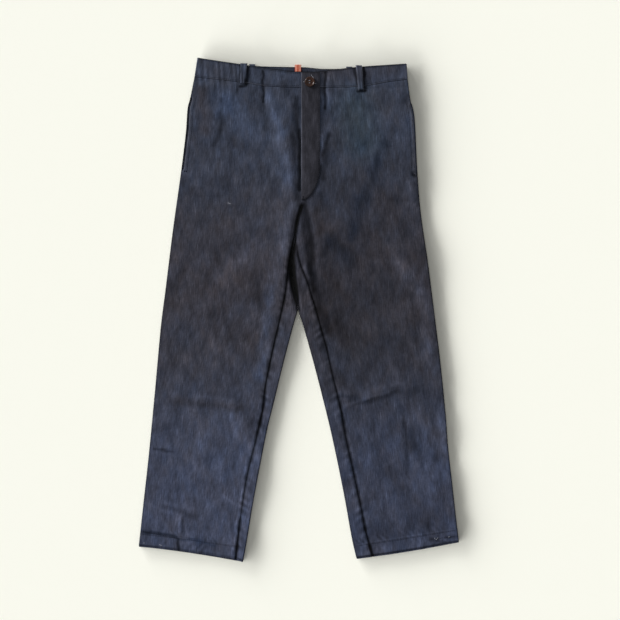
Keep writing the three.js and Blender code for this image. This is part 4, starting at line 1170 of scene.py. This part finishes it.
def back_loop(x):
    """A belt loop on the back: pressed flat between the waistband and the table."""
    thick = BACK_LOOP["thick"]
    share = shares(*GRIDS["back_loop_up"])[:, None]
    across = shares(*GRIDS["back_loop_across"])[None, :]
    y = mix(band_low(x, 1) - BACK_LOOP["below_seam"], back_top_y(x) + BACK_LOOP["over_top"], share)
    at = x + (across - 0.5) * BACK_LOOP["width"]
    return [rounded(as_grid(at, y, thick / 2 + BACK_LOOP["clear"], (0, 0, -1), thick), thick / 2)]


def button_piece():
    """A four-hole button with a round edge, a raised rim and a dished middle."""
    thick, inner = BUTTON["thick"], BUTTON["radius"] - BUTTON["edge"]
    angle = np.linspace(-0.5, 0.5, 13) * math.pi
    edge = np.stack([inner + BUTTON["edge"] * np.cos(angle), thick / 2 + thick / 2 * np.sin(angle)], -1)
    share = np.linspace(0, 1, 9)[1:]
    dish = np.stack([inner - BUTTON["rim"] * share, thick - BUTTON["dish"] * ease(share)], -1)
    profile = np.concatenate([[[0.02, 0]], edge, dish, [[0.02, thick - BUTTON["dish"]]]])
    turn = np.linspace(0, 2 * math.pi, 72, endpoint=False)
    around = [np.outer(profile[:, 0], np.cos(turn)), np.outer(profile[:, 0], np.sin(turn))]
    points = np.stack([*around, np.repeat(profile[:, 1:], len(turn), 1)], -1)
    ids = np.arange(points[..., 0].size).reshape(points.shape[:2])
    ring = np.concatenate([ids, ids[:, :1]], 1)
    faces = quads_of(ring)[:, ::-1].tolist() + [ids[0, ::-1].tolist(), ids[-1].tolist()]
    x, y = BUTTON["x"], BUTTON["y"]
    under = placket_height(np.array(x), np.array(y)) + CLOTH / 2 + BUTTON["shank"]
    place = np.array([x, y, under])
    button = add_mesh("button_four_hole", points.reshape(-1, 3) + place, faces, button_material())
    for sx in (-1, 1):
        for sy in (-1, 1):
            centre = place + (sx * BUTTON_HOLE["spread"], sy * BUTTON_HOLE["spread"], 0)
            bpy.ops.mesh.primitive_cylinder_add(
                vertices=24, radius=BUTTON_HOLE["radius"] * MM, depth=0.02, location=Vector(centre) * MM
            )
            drill = bpy.context.object
            cut = button.modifiers.new("hole", "BOOLEAN")
            cut.object, cut.solver = drill, "EXACT"
            bpy.context.view_layer.objects.active = button
            bpy.ops.object.modifier_apply(modifier="hole")
            bpy.data.objects.remove(drill)
    button.data.set_sharp_from_angle(angle=math.radians(40))
    return button, place


def label_tab():
    z = BACK_BAND_MID + BAND_CLOTH / 2 + GAP + LABEL["thick"] / 2
    low = front_top_y(LABEL["x"]) + 2 * GAP
    y = mix(low, back_top_y(LABEL["x"]) + LABEL["above"], shares(*GRIDS["label"])[:, None])
    x = LABEL["x"] + (shares(14, LABEL["width"])[None, :] - 0.5) * LABEL["width"]
    return [rounded(as_grid(x, y, z, (0, 0, 1), LABEL["thick"]), LABEL["thick"] / 2)]


# Stitching


def stitch_mesh(name, lines, material, length=2.6, pitch=3.6, width=0.55, height=0.4):
    """Rows of stitches as one mesh: each is a short rounded bead lying along its line."""
    ring = np.linspace(0, 2 * math.pi, 6, endpoint=False)
    ends = np.array([-0.5, -0.4, 0.4, 0.5])
    swell = np.array([0.25, 1.0, 1.0, 0.25])
    points, faces, start = [], [], 0
    for line in lines:
        line = np.asarray(line, float)
        steps = np.linalg.norm(np.diff(line, axis=0), axis=1)
        run = np.concatenate([[0], np.cumsum(steps)])
        middles = np.arange(pitch / 2, run[-1], pitch)
        place = lambda s: np.stack([np.interp(s, run, line[:, k]) for k in range(3)], -1)
        for middle in middles:
            a, b = place(middle - length / 2), place(middle + length / 2)
            way = (b - a) / max(np.linalg.norm(b - a), 1e-6)
            across = np.cross((0, 0, 1), way)
            across /= max(np.linalg.norm(across), 1e-6)
            up = np.cross(way, across)
            for end, fat in zip(ends, swell):
                centre = (a + b) / 2 + way * length * end
                for angle in ring:
                    offset = across * math.cos(angle) * width / 2 + up * math.sin(angle) * height / 2
                    points.append(centre + offset * fat)
            for k in range(len(ends) - 1):
                for j in range(len(ring)):
                    n = (j + 1) % len(ring)
                    lower, upper = start + k * len(ring), start + (k + 1) * len(ring)
                    faces.append([lower + j, lower + n, upper + n, upper + j])
            faces.append([start + j for j in reversed(range(len(ring)))])
            faces.append([start + (len(ends) - 1) * len(ring) + j for j in range(len(ring))])
            start += len(ends) * len(ring)
    return add_mesh(name, points, faces, material)


def on_top(x, y, height, thick, sink=0.12):
    """Points of a stitch line lying on a cloth whose middle is given by a height function."""
    z = height(x, y) + thick / 2 + sink
    return np.stack([x, y, z], -1)


def hem_top(x, y):
    return top_height(x, y) + HEM_RISE * HEM_PLY


def hem_stitches(leg, x0, x1):
    x = np.linspace(x0, x1, 70)
    return on_top(x, hem_line(leg, x) - HEM_STITCH_DROP, hem_top, CLOTH + HEM_PLY, 0)


def band_stitches(leg, inset, x0, x1):
    x = np.linspace(x0, x1, 90)
    is_left = leg.outward > 0
    y = seam_y(x) + inset if inset < BAND_DEPTH / 2 else front_top_y(x) - (BAND_DEPTH - inset)
    return on_top(x, y, lambda a, b: band_height(a, b, is_left), BAND_CLOTH)


def fly_stitches(inset):
    """The J-shaped line: down beside the placket's edge and round to its tip."""
    y = np.linspace(front_top_y(FLY_EDGE) - 3, PLACKET["bottom"] + 4, 80)
    x = FLY_EDGE + placket_width(y, PLACKET["width"] - inset)
    keep = x > FLY_EDGE + 2
    return on_top(x[keep], y[keep], placket_height, CLOTH)


def mouth_stitches(leg, inset):
    y = np.linspace(leg.mouth_top + 2, leg.mouth_bottom - 2, 50)
    x = leg.side(y) - leg.outward * (MOUTH_INSET + inset)
    return on_top(x, y, lambda a, b: top_height(a, b) + MOUTH_RISE * mouth_at(leg, b), CLOTH)


def bar_tack(x, y, wide, tall, height, thick, rows=9):
    """A dense block of short stitches."""
    lines = []
    for k in range(rows):
        level = y + (k / (rows - 1) - 0.5) * tall
        ends = np.array([x - wide / 2, x + wide / 2])
        lines.append(on_top(ends, np.array([level, level]), height, thick))
    return lines


def on_button(place):
    """Threads that cross the button from hole to hole."""
    reach, top = BUTTON_HOLE["spread"], BUTTON["thick"] - BUTTON["dish"] + 0.15
    return [place + np.array([(-reach, side * reach, top), (reach, side * reach, top)]) for side in (-1, 1)]


def single_stitches(rows, height, thick):
    """Stitches that stand alone, a line for each row of a table."""
    ends = zip(rows["x0"], rows["y0"], rows["x1"], rows["y1"])
    return [on_top(np.array([x0, x1]), np.array([y0, y1]), height, thick) for x0, y0, x1, y1 in ends]


# Materials


def nodes_of(name):
    material = bpy.data.materials.new(name)
    material.use_nodes = True
    tree = material.node_tree
    return material, tree, tree.nodes["Principled BSDF"]


def set_inputs(tree, node, inputs):
    """Gives a node's inputs their values, or their links from other nodes' sockets."""
    for key, value in inputs.items():
        if isinstance(value, bpy.types.NodeSocket):
            tree.links.new(value, node.inputs[key])
        else:
            node.inputs[key].default_value = value


def add_node(tree, kind, inputs, **settings):
    node = tree.nodes.new(kind)
    for key, value in settings.items():
        setattr(node, key, value)
    set_inputs(tree, node, inputs)
    return node


def object_noise(tree, scale, detail, distortion=0.0):
    """Noise over the piece's own coordinates."""
    place = add_node(tree, "ShaderNodeTexCoord", {}).outputs["Object"]
    values = {"Vector": place, "Scale": scale, "Detail": detail, "Distortion": distortion}
    return add_node(tree, "ShaderNodeTexNoise", values).outputs["Fac"]


def stretched_noise(tree, uv, scale, detail, roughness=0.55):
    """Noise over the cloth's grain; scale is across and along, in features for each 100 mm."""
    place = add_node(tree, "ShaderNodeMapping", {"Vector": uv, "Scale": (scale[0], scale[1], 1)})
    values = {"Vector": place.outputs["Vector"], "Scale": 1.0, "Detail": detail, "Roughness": roughness}
    return add_node(tree, "ShaderNodeTexNoise", values, noise_dimensions="2D").outputs["Fac"]


def between(tree, value, low, high, start=0.25, end=0.75):
    """The part of a value from start to end, spread between two others."""
    values = {"Value": value, "From Min": start, "From Max": end, "To Min": low, "To Max": high}
    return add_node(tree, "ShaderNodeMapRange", values).outputs["Result"]


def multiply(tree, a, b):
    return add_node(tree, "ShaderNodeMath", {0: a, 1: b}, operation="MULTIPLY").outputs[0]


def scaled(tree, colour, value):
    """A colour made lighter or darker by a value."""
    return add_node(tree, "ShaderNodeVectorMath", {0: colour, "Scale": value}, operation="SCALE").outputs[0]


def bump(tree, height, strength, distance, inputs=()):
    values = {"Strength": strength, "Distance": distance, "Height": height, **dict(inputs)}
    return add_node(tree, "ShaderNodeBump", values).outputs[0]


def twill_material(name, streak=0.24, weave=0.22, sheen=0.04):
    """Worn cotton twill: slubs along the grain, mottled fading and a fine diagonal weave."""
    material, tree, shader = nodes_of(name)
    uv = add_node(tree, "ShaderNodeUVMap", {}, uv_map="grain").outputs["UV"]
    tone = add_node(tree, "ShaderNodeVertexColor", {}, layer_name="tone").outputs["Color"]
    slub = stretched_noise(tree, uv, (56, 7), 3)
    yarn = stretched_noise(tree, uv, (110, 12), 2)
    cross = stretched_noise(tree, uv, (12, 60), 2)
    thick_yarn = between(tree, stretched_noise(tree, uv, (62, 3.5), 1), 1, 1.5, 0.6, 0.8)
    mottle = stretched_noise(tree, uv, (9, 5), 4, 0.62)
    value = multiply(tree, between(tree, slub, 1 - streak, 1 + streak), between(tree, yarn, 0.92, 1.08))
    value = multiply(tree, value, between(tree, cross, 0.93, 1.07))
    value = multiply(tree, value, thick_yarn)
    value = multiply(tree, value, between(tree, mottle, 0.8, 1.2))

    turn = {"Vector": uv, "Rotation": (0, 0, math.radians(58))}
    turned = add_node(tree, "ShaderNodeMapping", turn).outputs["Vector"]
    wave = {"Vector": turned, "Scale": 16.0, "Distortion": 1.2, "Detail": 2.0}
    ribs = add_node(tree, "ShaderNodeTexWave", wave).outputs["Fac"]
    fine = bump(tree, ribs, weave, 0.00025)
    rough = bump(tree, slub, 0.5, 0.0005, {"Normal": fine})
    crumple = stretched_noise(tree, uv, (14, 8), 4, 0.5)
    set_inputs(tree, shader, {
        "Base Color": scaled(tree, tone, value),
        "Normal": bump(tree, crumple, 0.45, 0.0011, {"Normal": rough}),
        "Roughness": 0.88,
        "Specular IOR Level": 0.12,
        "Sheen Weight": sheen,
        "Sheen Roughness": 0.45,
        "Sheen Tint": (0.75, 0.82, 1.0, 1),
    })
    return material


def thread_material(name, colour):
    """Twisted sewing thread."""
    material, tree, shader = nodes_of(name)
    twist = object_noise(tree, 900.0, 2.0)
    set_inputs(tree, shader, {
        "Base Color": scaled(tree, tuple(dye(colour)), between(tree, twist, 0.75, 1.25)),
        "Normal": bump(tree, twist, 0.5, 0.0002),
        "Roughness": 0.85,
        "Specular IOR Level": 0.15,
        "Sheen Weight": 0.03,
    })
    return material


def button_material():
    """Polished dark horn-like plastic, faintly mottled."""
    material, tree, shader = nodes_of("button_horn")
    cloud = object_noise(tree, 260.0, 4.0, 1.5)
    colour = add_node(tree, "ShaderNodeMix", {}, data_type="RGBA")
    set_inputs(tree, colour, {
        "Factor": between(tree, cloud, 0.0, 1.0),
        "A": (*to_linear(HORN_DARK), 1),
        "B": (*to_linear(HORN_LIGHT), 1),
    })
    set_inputs(tree, shader, {
        "Base Color": colour.outputs["Result"],
        "Normal": bump(tree, cloud, 0.15, 0.0001),
        "Roughness": between(tree, cloud, 0.16, 0.34),
    })
    return material


# Lights, table and camera

VIEW_CENTRE = (21.8, -0.4)  # the point of the table at the middle of the picture
CAMERA_HEIGHT = 2855
LENS = 85
SKY = 0.26  # brightness of the even light from all round
# The low light from the left, as a share of the table's light; angles in degrees, azimuth
# from +X. The cloth and the table each have their own, as they are lit at other heights.
CLOTH_SUN = dict(share=0.32, azimuth=150, height=17, spread=22)
TABLE_SUNS = [
    dict(share=0.083, azimuth=azimuth, height=5.2, spread=9) for azimuth in range(120, 241, 15)
]
FLOOR_TONE = (249, 249, 238)
TABLE_SIZE = 80  # in metres, so that a low view ends on the table


def floor_material():
    material, tree, shader = nodes_of("table_paper")
    set_inputs(tree, shader, {
        "Base Color": (*to_linear(FLOOR_TONE), 1),
        "Normal": bump(tree, object_noise(tree, 400.0, 3.0), 0.05, 0.0002),
        "Roughness": 0.95,
        "Specular IOR Level": 0.0,
    })
    return material


def add_studio():
    bpy.ops.mesh.primitive_plane_add(size=TABLE_SIZE)
    floor = bpy.context.object
    floor.name = "table"
    floor.data.materials.append(floor_material())

    world = bpy.data.worlds.new("studio")
    world.use_nodes = True
    background = world.node_tree.nodes["Background"]
    background.inputs["Color"].default_value = (1.0, 1.0, 1.0, 1)
    background.inputs["Strength"].default_value = SKY
    bpy.context.scene.world = world

    suns = [("cloth", CLOTH_SUN, "EXCLUDE")]
    suns += [(f"table_{n}", light, "INCLUDE") for n, light in enumerate(TABLE_SUNS)]
    for name, light, state in suns:
        around, up = math.radians(light["azimuth"]), math.radians(light["height"])
        sun = bpy.data.objects.new(f"{name}_sun", bpy.data.lights.new(f"{name}_sun", "SUN"))
        sun.data.energy = light["share"] * math.pi / math.sin(up)
        sun.data.angle = math.radians(light["spread"])
        towards = (math.cos(up) * math.cos(around), math.cos(up) * math.sin(around), math.sin(up))
        sun.rotation_euler = Vector(towards).to_track_quat("Z", "Y").to_euler()
        bpy.context.scene.collection.objects.link(sun)
        lit = bpy.data.collections.new(f"{name}_receivers")
        lit.objects.link(floor)
        sun.light_linking.receiver_collection = lit
        lit.collection_objects[0].light_linking.link_state = state

    camera = bpy.data.objects.new("camera", bpy.data.cameras.new("camera"))
    camera.data.lens = LENS
    camera.location = Vector((*VIEW_CENTRE, CAMERA_HEIGHT)) * MM
    bpy.context.scene.collection.objects.link(camera)
    bpy.context.scene.camera = camera
    bpy.context.scene.view_settings.view_transform = "Standard"


# Assembly


def panel_tone(leg):
    """Tone of a front or back panel: painted shade along its hem's folded edge, inner fold and side, pale
    wear along its pocket mouth, and painted light on the strip beyond the left mouth.
    """

    def tone_at(x, y, z, uv):
        tone = cloth_tone(x, y, z)
        tone = edge_shade(tone, y - (hem_line(leg, x) - HEM_DEPTH))
        tone = edge_shade(tone, np.where(y < 0, (x - leg.fold(y)) * leg.outward, FAR))
        from_side = (leg.side(y) - x) * leg.outward
        strength = MOUTH_WEAR["strength"] * mouth_at(leg, y)
        tone = worn_edge(tone, from_side - MOUTH_INSET, MOUTH_WEAR["reach"], strength)
        # painted light on the strip beyond the left pocket's mouth, which the front's edge shades
        beyond_mouth = mouth_at(leg, y) * (from_side < MOUTH_INSET) * (leg.outward > 0)
        tone = tone * (1 + MOUTH_STRIP_PAINTED_LIGHT * beyond_mouth)[..., None]
        return edge_shade(tone, from_side)

    return tone_at


def band_tone(x, y, z, uv):
    tone = cloth_tone(x, y, z)
    # painted shade on the waistband's inside where it shows above the front's top edge
    inside = (z < BACK_BAND_MID + BAND_CLOTH) & (y < back_top_y(x) - 1)
    tone = np.where(inside[:, None], tone * INSIDE_SHADE, tone)
    from_seam = np.where(on_underside(y, z) < 0.5, y - band_low(x, 0), FAR)
    middling = SEAM_WEAR["strength"]
    strength = np.clip(middling + middling * uneven(x, 0 * x, 57, 60), 0, 2 * middling)
    tone = worn_edge(tone, from_seam, SEAM_WEAR["reach"], strength)
    return edge_shade(tone, np.minimum(np.abs(front_top_y(x) - y), np.abs(back_top_y(x) - y)))


def placket_tone(x, y, z, uv):
    shade = 1 + layers(x, y, PLACKET_LIGHT)
    from_edge = FLY_EDGE + placket_width(y, PLACKET["width"]) - x
    shade *= 1 - PLACKET_SHADE["dark"] * bell(from_edge, PLACKET_SHADE["reach"]) * (1 - ramp(260, 330, y))
    tone = dye(PLACKET_TONE) * shade[:, None]
    tone = worn_edge(tone, x - FLY_EDGE, FLY_WEAR["reach"], FLY_WEAR["strength"] * ramp(220, 265, y))
    return edge_shade(tone, front_top_y(x) - y)


def loop_tone(x, y, z, uv):
    tone = cloth_tone(x, y, z) * LOOP_WEAR
    from_edge = (np.abs(uv[:, 0]).max() - np.abs(uv[:, 0])) * 100
    return worn_edge(tone, from_edge, LOOP_EDGE_WEAR["reach"], LOOP_EDGE_WEAR["strength"])


def bag_tone(x, y, z, uv):
    return dye(POCKETING) * (1 + 0.05 * uneven(x, y, 52, 20))[:, None]


def label_tone(x, y, z, uv):
    """Red-orange weave with pale stripes along the tab."""
    repeat = (x - LABEL["x"]) / LABEL["width"] * LABEL["stripes"]
    stripe = np.abs((repeat + 0.5) % 1 - 0.5) < LABEL["stripe_share"] / 2
    tone = np.where(stripe[:, None], dye(LABEL_STRIPE), dye(LABEL_RED))
    return tone * (1 + 0.08 * uneven(x, y, 53, 2.5))[:, None]


twill = twill_material("worn_twill")
placket_twill = twill_material("placket_twill", streak=0.16, weave=0.2, sheen=0.03)
pocketing = twill_material("pocketing", streak=0.06, weave=0.12, sheen=0.03)
label_weave = twill_material("label_weave", streak=0.1, weave=0.5, sheen=0.03)
threads = {name: thread_material(name, colour) for name, colour in THREADS.items()}

for side, leg in LEGS.items():
    looks = (panel_tone(leg), twill, "twill", leg_grain(leg))
    back = add_sheet(f"back_{side}_cloth", back_panel(leg), *looks)
    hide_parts(f"back_{side}")
    bag = add_sheet(f"pocket_bag_{side}_cloth", pocket_bag(leg), bag_tone, pocketing, "pocketing")
    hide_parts(f"pocket_bag_{side}")
    front = add_sheet(f"front_{side}_cloth", front_panel(leg), *looks)
    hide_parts(f"front_{side}")
    band = add_sheet(f"waistband_{side}_cloth", waistband(leg), band_tone, twill, "twill")
    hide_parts(f"waistband_{side}")

placket = add_sheet("fly_placket_cloth", fly_placket(), placket_tone, placket_twill, "placket")
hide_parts("fly_placket")

for side, loop_sizes in FRONT_LOOPS.items():
    loop = add_sheet(f"belt_loop_front_{side}_cloth", front_loop(**loop_sizes), loop_tone, twill, "twill")
    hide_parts(f"belt_loop_front_{side}")
for node, x in BACK_LOOPS.items():
    loop = add_sheet(f"{node}_cloth", back_loop(x), loop_tone, twill, "twill")
    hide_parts(node)

label = add_sheet("label_tab_cloth", label_tab(), label_tone, label_weave, "label")
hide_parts("label_tab")

button, button_place = button_piece()
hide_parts("button")

add_studio()

stitches = [hem_stitches(leg, *HEM_STITCHES[side]) for side, leg in LEGS.items()]
stitches += [band_stitches(leg, *line) for side, leg in LEGS.items() for line in BAND_STITCHES[side]]
stitches.append(fly_stitches(FLY_STITCH_INSET))
stitches += [mouth_stitches(leg, MOUTH_STITCH_INSET) for leg in LEGS.values()]
stitch_mesh("topstitching", stitches, threads["navy_thread"], height=0.22)

hem_thick = CLOTH + HEM_PLY
dark = single_stitches(DARK_MENDS, hem_top, hem_thick)
dark += bar_tack(**FLY_TACK, height=placket_height, thick=CLOTH)
for leg in LEGS.values():
    tack_x = leg.side(leg.mouth_bottom) - leg.outward * (MOUTH_INSET + MOUTH_TACK_INSET)
    dark += bar_tack(tack_x, leg.mouth_bottom, height=top_height, thick=CLOTH, **MOUTH_TACK)
stitch_mesh("dark_stitches", dark, threads["dark_thread"])
pale = single_stitches(PALE_MENDS, hem_top, hem_thick)
pale += single_stitches(BUTTON_MENDS, placket_height, CLOTH) + on_button(button_place)
stitch_mesh("pale_stitches", pale, threads["pale_thread"], length=3.2, pitch=3.4, width=0.9)
